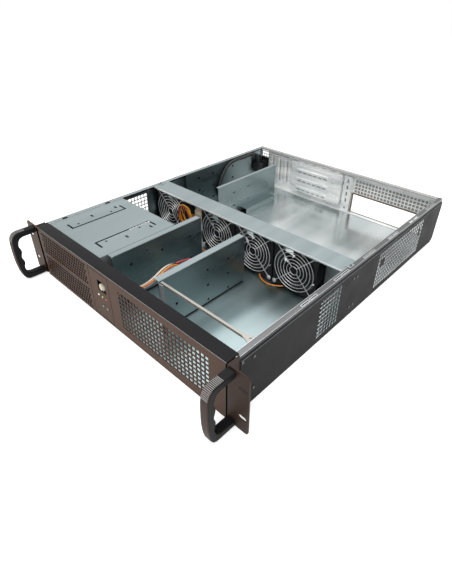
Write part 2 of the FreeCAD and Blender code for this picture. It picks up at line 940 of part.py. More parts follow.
def build_fan_wall():
    wall = keep(new_body("fan_wall"), "fan_wall")
    metal = d.inner_metal
    under_rail = rail_top - d.shell_metal
    shoulder = (d.case_height - d.wall_step_drop) - d.shell_metal
    plate = mirrored_profile(
        [
            (wall_inner, floor_top),
            (wall_inner, shoulder),
            (recess_inner, shoulder),
            (recess_inner, under_rail),
        ]
    )
    holes = []
    for x in fan_centres:
        holes.append((x, d.fan_z, d.fan_bore / 2))
    gap = rectangle(d.cable_gap_left, d.cable_gap_low, d.cable_gap_right, d.cable_gap_high)
    add_slab(wall, "XZ", fan_back, fan_back + metal, plate, holes=holes, windows=[gap])
    beam = rectangle(-beam_half, back(d.beam_front), beam_half, fan_back + metal)
    add_slab(wall, "XY", rail_top - metal, rail_top, beam)
    lip = rectangle(-beam_half, rail_top - d.beam_lip, beam_half, rail_top)
    add_slab(wall, "XZ", back(d.beam_front), back(d.beam_front) + metal, lip)
    foot = rectangle(-beam_half, fan_back, beam_half, fan_back + metal + d.fan_foot)
    add_slab(wall, "XY", floor_top, floor_top + metal, foot)
    middle = (back(d.beam_front) + fan_back) / 2
    tab_end = rail_inner + d.rail_width * 0.7
    for side in (-1, 1):
        ends = (beam_half * side, tab_end * side)
        left, right = ends if side > 0 else (ends[1], ends[0])
        overlap = size(4)
        if side > 0:
            left = left - overlap
        else:
            right = right + overlap
        tab = rectangle(left, middle - 6, right, middle + 6)
        add_slab(wall, "XY", rail_top, rail_top + 0.8, tab)


def build_fan_frame(name, x):
    """A square frame: two lips, a round duct, and the motor on its struts."""
    frame = keep(new_body(name), name)
    half = d.fan_size / 2
    square = rectangle(x - half, d.fan_z - half, x + half, d.fan_z + half)
    holes = [(x, d.fan_z, d.fan_bore / 2)]
    add_slab(frame, "XZ", fan_front, fan_front + d.fan_lip, square, holes=holes)
    add_disc(frame, "XZ", fan_front, fan_back, x, d.fan_z, half, holes=[(x, d.fan_z, d.fan_bore / 2)])
    add_slab(frame, "XZ", fan_back - d.fan_lip, fan_back, square, holes=holes)
    motor_front = fan_back - d.motor_depth
    add_disc(frame, "XZ", motor_front, fan_back, x, d.fan_z, d.hub_radius)
    reach = half - 1
    for strut in (
        rectangle(x - reach, d.fan_z - 2, x + reach, d.fan_z + 2),
        rectangle(x - 2, d.fan_z - reach, x + 2, d.fan_z + reach),
    ):
        add_slab(frame, "XZ", motor_front + 1, fan_back, strut)


BLADE_COUNT = 7


def build_rotor(name, x):
    """A hub with cambered blades round it, turning on the axis along Y."""
    rotor = keep(new_body(name), name)
    hub_back = fan_back - d.motor_depth - d.motor_gap
    hub_front = hub_back - d.hub_depth
    add_disc(rotor, "XZ", hub_front, hub_back, 0, 0, d.hub_radius)
    dimple_sketch = new_sketch(rotor, "XZ", hub_back)
    draw_circle(dimple_sketch, 0, 0, d.dimple_radius)
    dimple = rotor.newObject("PartDesign::Pocket", f"{name}_dimple")
    dimple.Profile = dimple_sketch
    dimple.Type = "Length"
    dimple.Reversed = True
    dimple.Length = d.dimple_depth.number
    dimple.setExpression("Length", d.dimple_depth.text)
    doc.recompute()
    blade = new_sketch(rotor, "YZ", d.hub_radius - 1)
    start_y, end_y = hub_front + 1.5, hub_back - 1.0
    metal = d.blade_metal
    corners = [
        (start_y, -11),
        (start_y + metal * 1.4, -11),
        ((start_y + end_y) / 2 + metal * 1.2, 2.5),
        (end_y, 10),
        (end_y - metal * 1.6, 10.6),
        ((start_y + end_y) / 2 - metal * 0.5, 3.6),
    ]
    draw_polygon(blade, corners)
    pad = rotor.newObject("PartDesign::Pad", f"{name}_blade")
    pad.Profile = blade
    length = d.rotor_radius - d.hub_radius + 1
    pad.Length = length.number
    pad.setExpression("Length", length.text)
    doc.recompute()
    ring = rotor.newObject("PartDesign::PolarPattern", f"{name}_blades")
    ring.Originals = [pad]
    for feature in rotor.Origin.OriginFeatures:
        if feature.Role == "Y_Axis":
            ring.Axis = (feature, [""])
    ring.Angle = 360
    ring.Occurrences = BLADE_COUNT
    rotor.Tip = ring
    rotor.Placement = Placement(Vector(float(x), 0, float(d.fan_z)), Rotation())
    rotor.setExpression("Placement.Base.x", x.text)
    rotor.setExpression("Placement.Base.z", d.fan_z.text)
    doc.recompute()


RING_COUNT = 3
RING_SIDES = 10


def prism(points, front, depth, hole=None):
    """A flat plate facing the front, from its corners, less a hole with its own corners."""
    front = float(front)

    def loop(corners):
        vectors = [Vector(float(u), front, float(v)) for u, v in corners]
        return Part.makePolygon(vectors + vectors[:1])

    face = Part.Face(loop(points))
    if hole:
        face = face.cut(Part.Face(loop(hole)))
    return face.extrude(Vector(0, float(depth), 0))


def build_guard(name, x):
    """A wire guard: rings welded on two crossed wires that end at the fan's screws."""
    wire = d.guard_wire
    bar_front = fan_front - wire
    ring_front = bar_front - wire
    z = d.fan_z
    wires = []
    for ring in range(RING_COUNT):
        radius = d.guard_first_ring + d.guard_ring_pitch * ring
        outer = polygon_round(x, z, radius + wire / 2, RING_SIDES)
        inner = polygon_round(x, z, radius - wire / 2, RING_SIDES)
        wires.append(prism(outer, ring_front, wire, inner))
    reach = screw_shift + 2
    lean = wire * 0.7071
    cross = [
        (x - reach - lean, z - reach + lean),
        (x - lean * 2, z),
        (x - reach - lean, z + reach - lean),
        (x - reach + lean, z + reach + lean),
        (x, z + lean * 2),
        (x + reach - lean, z + reach + lean),
        (x + reach + lean, z + reach - lean),
        (x + lean * 2, z),
        (x + reach + lean, z - reach + lean),
        (x + reach - lean, z - reach - lean),
        (x, z - lean * 2),
        (x - reach + lean, z - reach - lean),
    ]
    wires.append(prism(cross, bar_front, wire))
    keep(shaped(name, wires), name)


def build_fans():
    for number, x in enumerate(fan_centres, start=1):
        build_fan_frame(f"fan_frame_{number}", x)
        build_rotor(f"fan_rotor_{number}", x)
        build_guard(f"fan_guard_{number}", x)


# Rear panel, slot covers, riser frame and strap


def build_rear_panel():
    blank = new_body("rear_panel")
    front = rear_y - d.rear_metal
    io_right = d.io_left + d.io_width
    io_high = d.io_low + d.io_height
    opening = rectangle(d.io_left, d.io_low, io_right, io_high)
    uprights = []
    for step in range(3):
        middle = d.upright_first_x + d.slot_pitch * step
        half = d.slot_width / 2
        uprights.append(rectangle(middle - half, d.upright_low + 6, middle + half, (d.case_height - d.upright_drop) - 8))
    riser = rectangle(d.riser_left + 6, d.riser_low + 5, d.riser_right - 6, (d.case_height - d.riser_drop) - 5)
    outline = rectangle(-wall_inner, floor_top, wall_inner, (d.case_height - d.wall_step_drop) - d.shell_metal)
    add_slab(blank, "XZ", front, rear_y, outline, windows=[opening, riser] + uprights)
    upper = rectangle(-recess_inner, (d.case_height - d.wall_step_drop) - d.shell_metal - 1, recess_inner, rail_top - d.shell_metal)
    add_slab(blank, "XZ", front, rear_y, upper)
    band = rectangle(-rail_inner + 0.3, rear_y - d.rear_flange, rail_inner - 0.3, rear_y)
    add_slab(blank, "XY", rail_top - d.rear_metal, rail_top, band)
    foot = rectangle(-wall_inner, rear_y - d.rear_flange, wall_inner, rear_y)
    add_slab(blank, "XY", floor_top, floor_top + d.rear_metal, foot)
    pitch, hole = float(d.rear_vent_pitch), float(d.rear_vent_hole)
    reach = float(front) - 1
    cutters = []

    def field(left, low, columns, rows, step):
        for column in range(0, columns, step):
            for row in range(0, rows, step):
                x = left + column * pitch
                z = low + row * pitch
                wide = hole + (step - 1) * pitch * 0.55
                cutters.append(block(x, x + wide, reach, float(rear_y) + 1, z, z + wide))

    field(float(d.rear_strip_left), float(d.rear_strip_low), int(float(d.rear_strip_columns)), 4, 2)
    field(float(d.corner_vent_left), float(d.corner_vent_low), 2, 2, 2)
    return cut_piece("rear_panel", blank, cutters)


def build_slot_covers():
    """Three upright covers on the panel, and three lying covers in the riser frame."""
    inside = rear_y - d.rear_metal
    for step in range(3):
        name = f"upright_cover_{step + 1}"
        cover = keep(new_body(name), name)
        middle = d.upright_first_x + d.slot_pitch * step
        half = d.cover_width / 2
        face = rectangle(middle - half, d.upright_low, middle + half, (d.case_height - d.upright_drop))
        add_slab(cover, "XZ", inside - d.cover_metal, inside, face)
        rib = rectangle(middle - half + 3, d.upright_low + 8, middle + half - 7, (d.case_height - d.upright_drop) - 8)
        add_slab(cover, "XZ", inside - d.cover_metal - 2.2, inside, rib)
        tab = rectangle(middle - half, inside - 9, middle + half, inside)
        add_slab(cover, "XY", (d.case_height - d.upright_drop) - d.cover_metal, (d.case_height - d.upright_drop), tab)
    face_y = inside - d.riser_reach
    for step in range(3):
        name = f"riser_cover_{step + 1}"
        cover = keep(new_body(name), name)
        middle = d.riser_first_z + d.slot_pitch * step
        half = d.cover_width / 2
        face = rectangle(d.riser_slot_left - 4, middle - half, d.riser_right - 6, middle + half)
        add_slab(cover, "XZ", face_y - d.cover_metal, face_y, face)
        rib = rectangle(d.riser_slot_left + 4, middle - half + 4, d.riser_slot_right - 4, middle + half - 8)
        add_slab(cover, "XZ", face_y - d.cover_metal - 2.2, face_y, rib)


def build_riser():
    """A raised frame with three openings for cards that lie flat, standing off the rear panel."""
    riser = keep(new_body("riser_frame"), "riser_frame")
    inside = rear_y - d.rear_metal
    face_y = inside - d.riser_reach
    metal = d.inner_metal
    windows = []
    for step in range(3):
        middle = d.riser_first_z + d.slot_pitch * step
        half = d.slot_width / 2
        windows.append(rectangle(d.riser_slot_left, middle - half, d.riser_slot_right, middle + half))
    face = rectangle(d.riser_left, d.riser_low, d.riser_right, (d.case_height - d.riser_drop))
    add_slab(riser, "XZ", face_y, face_y + metal, face, windows=windows)
    for low, high in ((d.riser_low, d.riser_low + metal), ((d.case_height - d.riser_drop) - metal, (d.case_height - d.riser_drop))):
        add_slab(riser, "XY", low, high, rectangle(d.riser_left, face_y, d.riser_right, inside))
    for left, right in ((d.riser_left, d.riser_left + metal), (d.riser_right - metal, d.riser_right)):
        add_slab(riser, "YZ", left, right, rectangle(face_y, d.riser_low, inside, (d.case_height - d.riser_drop)))
    strap = keep(new_body("strap_bracket"), "strap_bracket")
    strap_y = inside - d.strap_reach
    middle = (d.strap_left + d.strap_right) / 2
    slots = []
    for step in range(4):
        low = d.riser_low + 10 + size(14 * step)
        slots.append(rectangle(middle - 1.5, low, middle + 1.5, low + 7))
    strip = rectangle(d.strap_left, floor_top + d.rear_metal, d.strap_right, (d.case_height - d.riser_drop))
    add_slab(strap, "XZ", strap_y, strap_y + metal, strip, windows=slots)
    for left, right in ((d.strap_left, d.strap_left + metal), (d.strap_right - metal, d.strap_right)):
        add_slab(strap, "YZ", left, right, rectangle(strap_y, floor_top + d.rear_metal, inside, (d.case_height - d.riser_drop)))


# Power inlet on the rear panel, its moulded plug and the loose lead along the left wall


def build_inlet():
    inlet = keep(new_body("power_inlet"), "power_inlet")
    inside = rear_y - d.rear_metal
    half_width, half_height = d.inlet_width / 2, d.inlet_height / 2
    shell = rectangle(
        d.inlet_x - half_width, d.inlet_z - half_height, d.inlet_x + half_width, d.inlet_z + half_height
    )
    add_slab(inlet, "XZ", inside - d.inlet_reach, inside, shell)
    flange = rectangle(
        d.inlet_x - half_width - 1, d.inlet_z - half_height - 5, d.inlet_x + half_width + 1, d.inlet_z + half_height + 5
    )
    add_slab(inlet, "XZ", inside - 2, inside, flange)


# Wiring: round leads along chosen points, the plugs they end in, and the coiled fan leads


def sweep_lead(points, section):
    """Straight runs joined by arcs, each as large as its two runs allow, as one solid."""
    face = Part.Face(section)
    pieces = []
    radii = []
    length = 0
    start = points[0]
    for before, corner, after in zip(points, points[1:], points[2:]):
        incoming, outgoing = (corner - before), (after - corner)
        trim = 0.45 * min(incoming.Length, outgoing.Length)
        turn = incoming.getAngle(outgoing)
        radius = trim / math.tan(turn / 2)
        incoming.normalize()
        outgoing.normalize()
        first = corner - incoming * trim
        straight = first - start
        pieces.append(face.extrude(straight))
        face.translate(straight)
        axis = incoming.cross(outgoing).normalize()
        centre = first + axis.cross(incoming) * radius
        pieces.append(face.revolve(centre, axis, math.degrees(turn)))
        face.rotate(centre, axis, math.degrees(turn))
        length += straight.Length + radius * turn
        radii.append(round(radius, 1))
        start = corner + outgoing * trim
    pieces.append(face.extrude(points[-1] - start))
    length += (points[-1] - start).Length
    return pieces[0].multiFuse(pieces[1:]), length, radii


def build_lead(name, route, radius, sides):
    """A lead of one thickness, swept along its route with a many-sided section."""
    radius = float(radius)
    points = [Vector(x, float(back(y)), z) for x, y, z in route]
    along = (points[1] - points[0]).normalize()
    across = along.cross(ALONG_Z).normalize()
    up = across.cross(along)
    ring = []
    for step in range(sides + 1):
        angle = 2 * math.pi * step / sides
        ring.append(points[0] + across * (radius * math.cos(angle)) + up * (radius * math.sin(angle)))
    tube, length, radii = sweep_lead(points, Part.makePolygon(ring))
    feature = doc.addObject("Part::Feature", name)
    feature.Shape = tube
    keep(feature, name)
    area = sides / 2 * radius**2 * math.sin(2 * math.pi / sides)
    print(name, "length", round(length, 1), "radii", radii)
    print(name, "volume over section by length", round(tube.Volume / (area * length), 4))


POWER_LEAD_ROUTE = [
    (-200.0, 531.0, 56.3),
    (-200.0, 530.0, 70.0),
    (-200.2, 520.5, 80.0),
    (-200.4, 504.0, 82.6),
    (-200.4, 482.0, 80.6),
    (-200.4, 458.0, 82.8),
    (-200.4, 435.0, 80.0),
    (-200.4, 417.0, 66.0),
    (-200.4, 406.0, 47.0),
    (-200.2, 399.5, 31.0),
    (-199.8, 400.5, 17.5),
    (-199.0, 408.5, 8.0),
    (-197.6, 420.0, 4.8),
    (-195.8, 436.0, 5.2),
    (-194.6, 454.3, 8.2),
]
FRONT_BUNDLE_ROUTE = [
    (-22.0, 10.8, 46.0),
    (-21.0, 19.0, 46.5),
    (-13.0, 27.0, 48.5),
    (-1.0, 34.0, 53.0),
    (10.0, 44.0, 59.0),
    (15.5, 59.0, 67.5),
    (15.5, 77.0, 75.5),
    (14.0, 94.0, 74.5),
    (15.5, 107.0, 64.0),
    (19.0, 115.0, 48.0),
    (23.0, 123.0, 31.0),
    (26.0, 135.0, 17.0),
    (27.0, 147.5, 10.8),
]
RED_LEAD_ROUTE = [
    (7.8, 103.0, 68.6),
    (10.5, 120.0, 69.5),
    (16.0, 139.0, 63.0),
    (23.0, 153.0, 49.0),
    (27.5, 161.0, 32.0),
    (29.0, 162.4, 15.5),
]
FAN_LEAD_2_ROUTE = [
    (-110.0, 238.4, 18.0),
    (-98.0, 232.0, 11.0),
    (-80.0, 228.0, 7.0),
    (-60.0, 227.5, 5.0),
    (-42.0, 230.5, 5.2),
    (-27.0, 238.4, 6.2),
]
FAN_LEAD_3_ROUTE = [
    (56.0, 238.7, 6.2),
    (63.0, 232.0, 5.6),
    (77.0, 228.8, 3.4),
    (92.0, 231.0, 4.2),
    (105.0, 238.3, 6.2),
]


def build_wiring():
    build_lead("power_lead", POWER_LEAD_ROUTE, d.lead_radius, 4)
    build_lead("front_bundle", FRONT_BUNDLE_ROUTE, d.bundle_radius, 4)
    build_lead("red_lead", RED_LEAD_ROUTE, d.wire_radius, 4)
    build_lead("fan_lead_2", FAN_LEAD_2_ROUTE, d.wire_radius, 4)
    build_lead("fan_lead_3", FAN_LEAD_3_ROUTE, d.wire_radius, 4)
    inlet_front = rear_y - d.rear_metal - d.inlet_reach
    plug = keep(new_body("inlet_plug"), "inlet_plug")
    plug_half = d.inlet_width / 2 - 1.5
    body = [
        (inlet_front - 20, d.inlet_z - 7),
        (inlet_front, d.inlet_z - 9),
        (inlet_front, d.inlet_z + 9),
        (inlet_front - 4, 56),
        (inlet_front - 16, 56),
    ]
    add_slab(plug, "YZ", d.inlet_x - plug_half, d.inlet_x + plug_half, body)
    for name, x, y, low, width, length, height in (
        ("supply_plug", -194.6, d.case_depth - 105, floor_top, 15.0, 26.0, 14.0),
        ("front_connector", 27.0, 150.0, floor_top, 12.0, 16.0, 14.0),
    ):
        block_body = keep(new_body(name), name)
        outline = rectangle(x - width / 2, back(y), x + width / 2, back(y + length))
        add_slab(block_body, "XY", low, low + height, outline)
    coil = keep(new_body("fan_wire_coil"), "fan_wire_coil")
    outline = [(-133, 46), (-122, 30), (-108, 26), (-103, 40), (-104, 66), (-110, 77), (-126, 78), (-133, 70)]
    add_slab(coil, "XZ", back(224), fan_front, outline)
    add_slab(coil, "XZ", fan_front, fan_back, rectangle(-120, 14, -107.5, 70))
    connectors = keep(new_body("fan_connectors"), "fan_connectors")
    stack = ((11.4, 44, 19, 12), (13.0, 56.2, 17.5, 11), (16.0, 67.4, 14.5, 9))
    for inset, low, width, height in stack:
        left = d.cable_gap_left + inset
        add_slab(connectors, "XZ", back(d.fan_plate_y - 23), fan_back, rectangle(left, low, left + width, low + height))


build_chassis()
build_bezel()
build_control_plate()
build_control_board()
build_button("power_button", d.power_button_x, d.power_button_z, d.power_button_radius)
for button_name, button_x in small_buttons.items():
    build_button(button_name, button_x, d.small_button_z, d.small_button_radius)
build_lamps()
for ear_name, ear_side in (("left", -1), ("right", 1)):
    build_ear(f"ear_{ear_name}", ear_side)
    build_handle(f"handle_{ear_name}", ear_side)
build_cage()
build_partitions()
build_brace()
build_power_bay()
build_fan_wall()
build_fans()
build_rear_panel()
build_slot_covers()
build_riser()
build_inlet()
build_wiring()

doc.recompute()

# Every feature must have built, and every piece must be a whole, valid shape

for thing in doc.Objects:
    for fault in ("Invalid", "Error"):
        if fault in thing.State:
            raise RuntimeError(f"{thing.Label}: {thing.State}")
for name, piece in parts.items():
    if piece.Shape.isNull() or not piece.Shape.isValid():
        raise RuntimeError(f"{name} has no valid shape")
    print(name, len(piece.Shape.Solids), "solids,", round(piece.Shape.Volume), "mm3")

os.makedirs("parts", exist_ok=True)
for name, piece in parts.items():
    piece.Shape.exportStep(f"parts/{name}.step")
print(len(parts), "pieces written")
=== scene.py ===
# %% [markdown]
# # An open rackmount case, dressed for its portrait
# The case is folded steel: a perforated front, two ears with bow handles, a drive cage, a wall of
# four fans, and an empty bay behind it. The measured solids come from the CAD model and never
# move. This lesson puts the real sheet, wire, moulded plastic and wiring over them.

# %% Load the fixed frame
import math

import bpy
from mathutils import Euler, Matrix, Vector


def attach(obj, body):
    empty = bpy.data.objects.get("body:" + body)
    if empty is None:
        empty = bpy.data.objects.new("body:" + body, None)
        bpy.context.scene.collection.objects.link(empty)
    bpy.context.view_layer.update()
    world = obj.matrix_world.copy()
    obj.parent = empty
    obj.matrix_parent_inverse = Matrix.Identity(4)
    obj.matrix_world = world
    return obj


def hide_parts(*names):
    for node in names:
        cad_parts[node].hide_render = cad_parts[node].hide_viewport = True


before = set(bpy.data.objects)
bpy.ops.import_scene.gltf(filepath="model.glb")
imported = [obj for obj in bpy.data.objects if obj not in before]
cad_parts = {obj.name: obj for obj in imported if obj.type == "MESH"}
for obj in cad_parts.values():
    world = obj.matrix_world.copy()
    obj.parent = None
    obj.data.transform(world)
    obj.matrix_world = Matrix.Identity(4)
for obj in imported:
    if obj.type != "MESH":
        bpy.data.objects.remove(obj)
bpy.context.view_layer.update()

# %% [markdown]
# ## Camera
# The photograph looks down on the case from the right of its front. The angle, lens and shift
# below put the ears, rails and rear corners where the photograph has them. It could be matched by
# eye, but corners of known size give a closer fit.

# %% Camera
camera_data = bpy.data.cameras.new("camera")
camera_data.lens = 26.33
camera_data.sensor_width = 36
camera_data.shift_x = -0.0063
camera_data.shift_y = -0.0459
camera_data.clip_start = 0.01
camera = bpy.data.objects.new("camera", camera_data)
camera.location = (0.4219, -0.4801, 0.4104)
camera.rotation_euler = [math.radians(angle) for angle in (56.472, -0.29, 43.622)]
bpy.context.scene.collection.objects.link(camera)
bpy.context.scene.camera = camera
bpy.context.scene.view_settings.view_transform = "Standard"
print("camera at", tuple(camera.location))

# %% [markdown]
# ## Measures
# Sizes are typed in millimetres, and depths are counted back from the bezel's front face, as one
# would with a rule laid on the case. The frame itself is in metres. The levels and edges that
# several sheets share have a name each.

# %% Measures
MM = 0.001
BEZEL_FACE = -0.2595
GAUGE = 1.2
CASE_DEPTH = 560
SHELL_FRONT = 17
WALL_INSIDE = 212.6
RAIL_INSIDE = 204
FLOOR_LEVEL = 1.3
FOOT_TOP = 2.4
LID_LEVEL = 85.3
SAME_POINT = 1e-5
SLOT_PITCH = 20.32
FIRST_UPRIGHT = -177.6
STEPPED_OUTLINE = [(-212.6, 1.3), (212.6, 1.3), (212.6, 78.3), (210.8, 78.3)]
STEPPED_OUTLINE += [(210.8, 85.2), (-210.8, 85.2), (-210.8, 78.3), (-212.6, 78.3)]


def at(x, depth, z):
    """A point from its millimetres: sideways, back from the bezel's face, and up."""
    return Vector((x * MM, BEZEL_FACE + depth * MM, z * MM))


def measured(point):
    """The reverse: a point's millimetres sideways, back and up."""
    return point.x / MM, (point.y - BEZEL_FACE) / MM, point.z / MM


def corners(left, low, right, high):
    return [(left, low), (right, low), (right, high), (left, high)]


def let_go():
    if bpy.context.object and bpy.context.object.mode != "OBJECT":
        bpy.ops.object.mode_set(mode="OBJECT")
    bpy.ops.object.select_all(action="DESELECT")


def take_up(*pieces):
    """Selects these pieces only and makes the first one active."""
    let_go()
    for piece in pieces:
        piece.select_set(True)
    bpy.context.view_layer.objects.active = pieces[0]


print("bezel face at y", BEZEL_FACE)

# %% [markdown]
# ## Finishes
# Nearly every surface here is one of three things: painted steel with a fine orange peel, plated
# steel with soft rolling streaks, or moulded plastic. One recipe makes them all. A broad noise
# moves the colour between two close tints, a stretched noise draws the streaks and varies the
# gloss, and a fine noise raises the grain.


# %% Shader nodes by name
def add_node(tree, kind, values=None, **settings):
    """A new shader node with its settings, and the values of its unlinked inputs."""
    node = tree.nodes.new(f"ShaderNode{kind}")
    for name, value in settings.items():
        setattr(node, name, value)
    for name, value in (values or {}).items():
        node.inputs[name].default_value = value
    return node


def wire_up(tree, *runs):
    """Links nodes; each run is a node, its output, the next node and that one's input."""
    for source, output, target, entry in runs:
        tree.links.new(source.outputs[output], target.inputs[entry])


# %% The finish recipe
STREAK_LOW, STREAK_HIGH = 0.3, 0.7
PEEL_HEIGHT = 0.0004


def finish(name, dark, light, rough, metal=0.0, stretch=(1, 1, 1), streak=30, grain=900, relief=0.05, **more):
    """A finish between two tints; more may hold the shine and the detail of the streaks."""
    material = bpy.data.materials.new(name)
    material.use_nodes = True
    tree = material.node_tree
    shader = tree.nodes["Principled BSDF"]
    shader.inputs["Metallic"].default_value = metal
    shader.inputs["Specular IOR Level"].default_value = more.get("shine", 0.5)
    place = add_node(tree, "TexCoord")
    turn = add_node(tree, "Mapping", {"Scale": stretch})
    streaks = add_node(tree, "TexNoise", {"Scale": streak, "Detail": more.get("detail", 3)})
    tint = add_node(tree, "ValToRGB")
    for stop, position, colour in zip(tint.color_ramp.elements, (STREAK_LOW, STREAK_HIGH), (dark, light)):
        stop.position = position
        stop.color = (*colour, 1)
    gloss_range = {"From Min": STREAK_LOW, "From Max": STREAK_HIGH, "To Min": rough[0], "To Max": rough[1]}
    gloss = add_node(tree, "MapRange", gloss_range)
    peel = add_node(tree, "TexNoise", {"Scale": grain, "Detail": 3})
    bump = add_node(tree, "Bump", {"Strength": relief, "Distance": PEEL_HEIGHT})
    wire_up(
        tree,
        (place, "Object", turn, "Vector"),
        (turn, "Vector", streaks, "Vector"),
        (streaks, "Fac", tint, "Fac"),
        (tint, "Color", shader, "Base Color"),
        (streaks, "Fac", gloss, "Value"),
        (gloss, "Result", shader, "Roughness"),
        (place, "Object", peel, "Vector"),
        (peel, "Fac", bump, "Height"),
        (bump, "Normal", shader, "Normal"),
    )
    print("finish", name)
    return material


# %% [markdown]
# ## Painted, plated and moulded finishes
# The bezel and ears are black paint. Their front faces are painted a brown bronze, the ears' a
# darker one, as a painted warm reflection. Walls and top plate are black.
# The zinc inside is metal with streaks that run along each sheet, so every direction of sheet has
# its own stretch. The rear panel is plated much brighter; the faces that look out of its back take
# a darker copy of that plating, as painted shade.

# %% Paints
# The bronzes are painted warm reflection on black paint, for faces that look forwards.
bronze_reflection = finish(
    "bronze_reflection", (0.056, 0.028, 0.0155), (0.071, 0.036, 0.021), (0.48, 0.58), relief=0.1, shine=0.16
)
# Near-black painted shadow, for the gaps beside the bezel and the walls of the cage's cuts.
shadow_black = finish("shadow_black", (0.0012,) * 3, (0.002,) * 3, (0.85, 0.95), relief=0.0, shine=0.0)
dark_bronze_reflection = finish(
    "dark_bronze_reflection", (0.03, 0.017, 0.012), (0.039, 0.022, 0.016), (0.48, 0.58), relief=0.1, shine=0.14
)
dark_paint = finish(
    "dark_paint", (0.0062, 0.0062, 0.0066), (0.0095, 0.0095, 0.01), (0.5, 0.6), relief=0.12, shine=0.1
)
black_paint = finish(
    "black_paint", (0.006, 0.006, 0.007), (0.01, 0.01, 0.011), (0.5, 0.6), relief=0.08, shine=0.12
)
# Light grey: a painted highlight on the top plate's front edge and the handles' ribs, and the colour of the
# mute and reset buttons.
highlight_and_button_grey = finish("highlight_and_button_grey", (0.16, 0.15, 0.145), (0.26, 0.25, 0.24), (0.3, 0.4))

# %% Plated steel
ALONG = (6, 0.5, 1)
UPRIGHT = (1, 1, 4)
zinc = finish(
    "zinc", (0.28, 0.331, 0.338), (0.315, 0.366, 0.374), (0.34, 0.44), 1.0, ALONG, 9, 160, 0.0, detail=2
)
zinc_web = finish(
    "zinc_web", (0.27, 0.33, 0.34), (0.32, 0.385, 0.395), (0.26, 0.34), 1.0, (1, 0.6, 4), 6, 160, 0.0,
    detail=1,
)
floor_zinc = finish(
    "floor_zinc", (0.49, 0.54, 0.55), (0.74, 0.77, 0.77), (0.16, 0.28), 1.0, (5, 0.5, 1), 5, 60, 0.0, detail=1
)
soft_zinc = finish(
    "soft_zinc", (0.27, 0.29, 0.29), (0.34, 0.355, 0.355), (0.34, 0.46), 0.5, UPRIGHT, 9, 160, 0.0, detail=2
)
# A darker copy of the rail's zinc, painted shade on the recessed step.
recess_shade_zinc = finish(
    "recess_shade_zinc", (0.055, 0.057, 0.06), (0.085, 0.088, 0.09), (0.32, 0.42), 1.0, (1, 0.4, 6), 14, 200, 0.04
)
# A darker copy of the zinc, painted shade on the right rail, whose mirror on the left keeps the lighter zinc;
# the ledges and the screw heads take it too.
shaded_zinc = finish(
    "shaded_zinc", (0.125, 0.127, 0.129), (0.17, 0.172, 0.174), (0.3, 0.42), 1.0, (6, 0.4, 1), 14, 200, 0.04
)
# Bright zinc: a painted highlight on the slot rims and the rails' edge lines, and partly on the vents' cut
# edges; the inlet's pins and the panel's band take it too.
bright_zinc_and_highlight = finish(
    "bright_zinc_and_highlight", (0.6, 0.61, 0.61), (0.72, 0.73, 0.73), (0.24, 0.34), 1.0, (1, 0.4, 1), 20, 300, 0.02
)
bright_plate = finish(
    "bright_plate", (0.68, 0.7, 0.7), (0.95, 0.95, 0.93), (0.22, 0.38), 0.35, UPRIGHT, 14, 200, 0.01, detail=2
)
shade_plate = finish(
    "shade_plate", (0.2, 0.19, 0.175), (0.3, 0.28, 0.26), (0.35, 0.5), 0.4, UPRIGHT, 14, 200, 0.01, detail=2
)
rim_shade = finish(
    "rim_shade", (0.1, 0.075, 0.055), (0.15, 0.115, 0.085), (0.4, 0.5), 0.4, UPRIGHT, 14, 200, 0.01
)
# A darker copy of the bright plating, painted shade on faces that look out of the back.
back_shade_plate = finish(
    "back_shade_plate", (0.26, 0.27, 0.275), (0.36, 0.37, 0.375), (0.34, 0.48), 0.5, UPRIGHT, 14, 200, 0.01,
    detail=2,
)
brace_plate = finish(
    "brace_plate", (0.3, 0.29, 0.26), (0.36, 0.35, 0.32), (0.3, 0.4), 1.0, (1, 5, 5), 20, 300, 0.02
)
chrome_wire = finish("chrome_wire", (0.58,) * 3, (0.7,) * 3, (0.26, 0.36), 0.5, (1, 1, 1), 60, 600, 0.02)

# %% Mouldings, wires and lamps
fan_plastic = finish(
    "fan_plastic", (0.006, 0.006, 0.007), (0.01, 0.01, 0.011), (0.5, 0.62), relief=0.1, shine=0.25
)
lead_rubber = finish(
    "lead_rubber", (0.01, 0.01, 0.011), (0.016, 0.016, 0.017), (0.4, 0.55), grain=1400, relief=0.12, shine=0.4
)
cream_plastic = finish("cream_plastic", (0.5, 0.45, 0.34), (0.6, 0.55, 0.43), (0.3, 0.42), relief=0.04)
ribbon_plastic = finish("ribbon_plastic", (0.52, 0.46, 0.38), (0.62, 0.56, 0.48), (0.35, 0.5), relief=0.06)
red_plastic = finish("red_plastic", (0.36, 0.012, 0.016), (0.46, 0.025, 0.025), (0.3, 0.42), relief=0.04)
yellow_plastic = finish("yellow_plastic", (0.72, 0.3, 0.012), (0.85, 0.42, 0.02), (0.3, 0.42), relief=0.04)
green_board = finish("green_board", (0.02, 0.09, 0.045), (0.03, 0.12, 0.06), (0.35, 0.5), streak=80)
white_lens = finish("white_lens", (0.8, 0.8, 0.76), (0.9, 0.9, 0.86), (0.12, 0.2), relief=0.01)
green_lens = finish("green_lens", (0.35, 0.5, 0.05), (0.45, 0.6, 0.08), (0.12, 0.2), relief=0.01)
red_lens = finish("red_lens", (0.5, 0.03, 0.03), (0.62, 0.05, 0.05), (0.12, 0.2), relief=0.01)
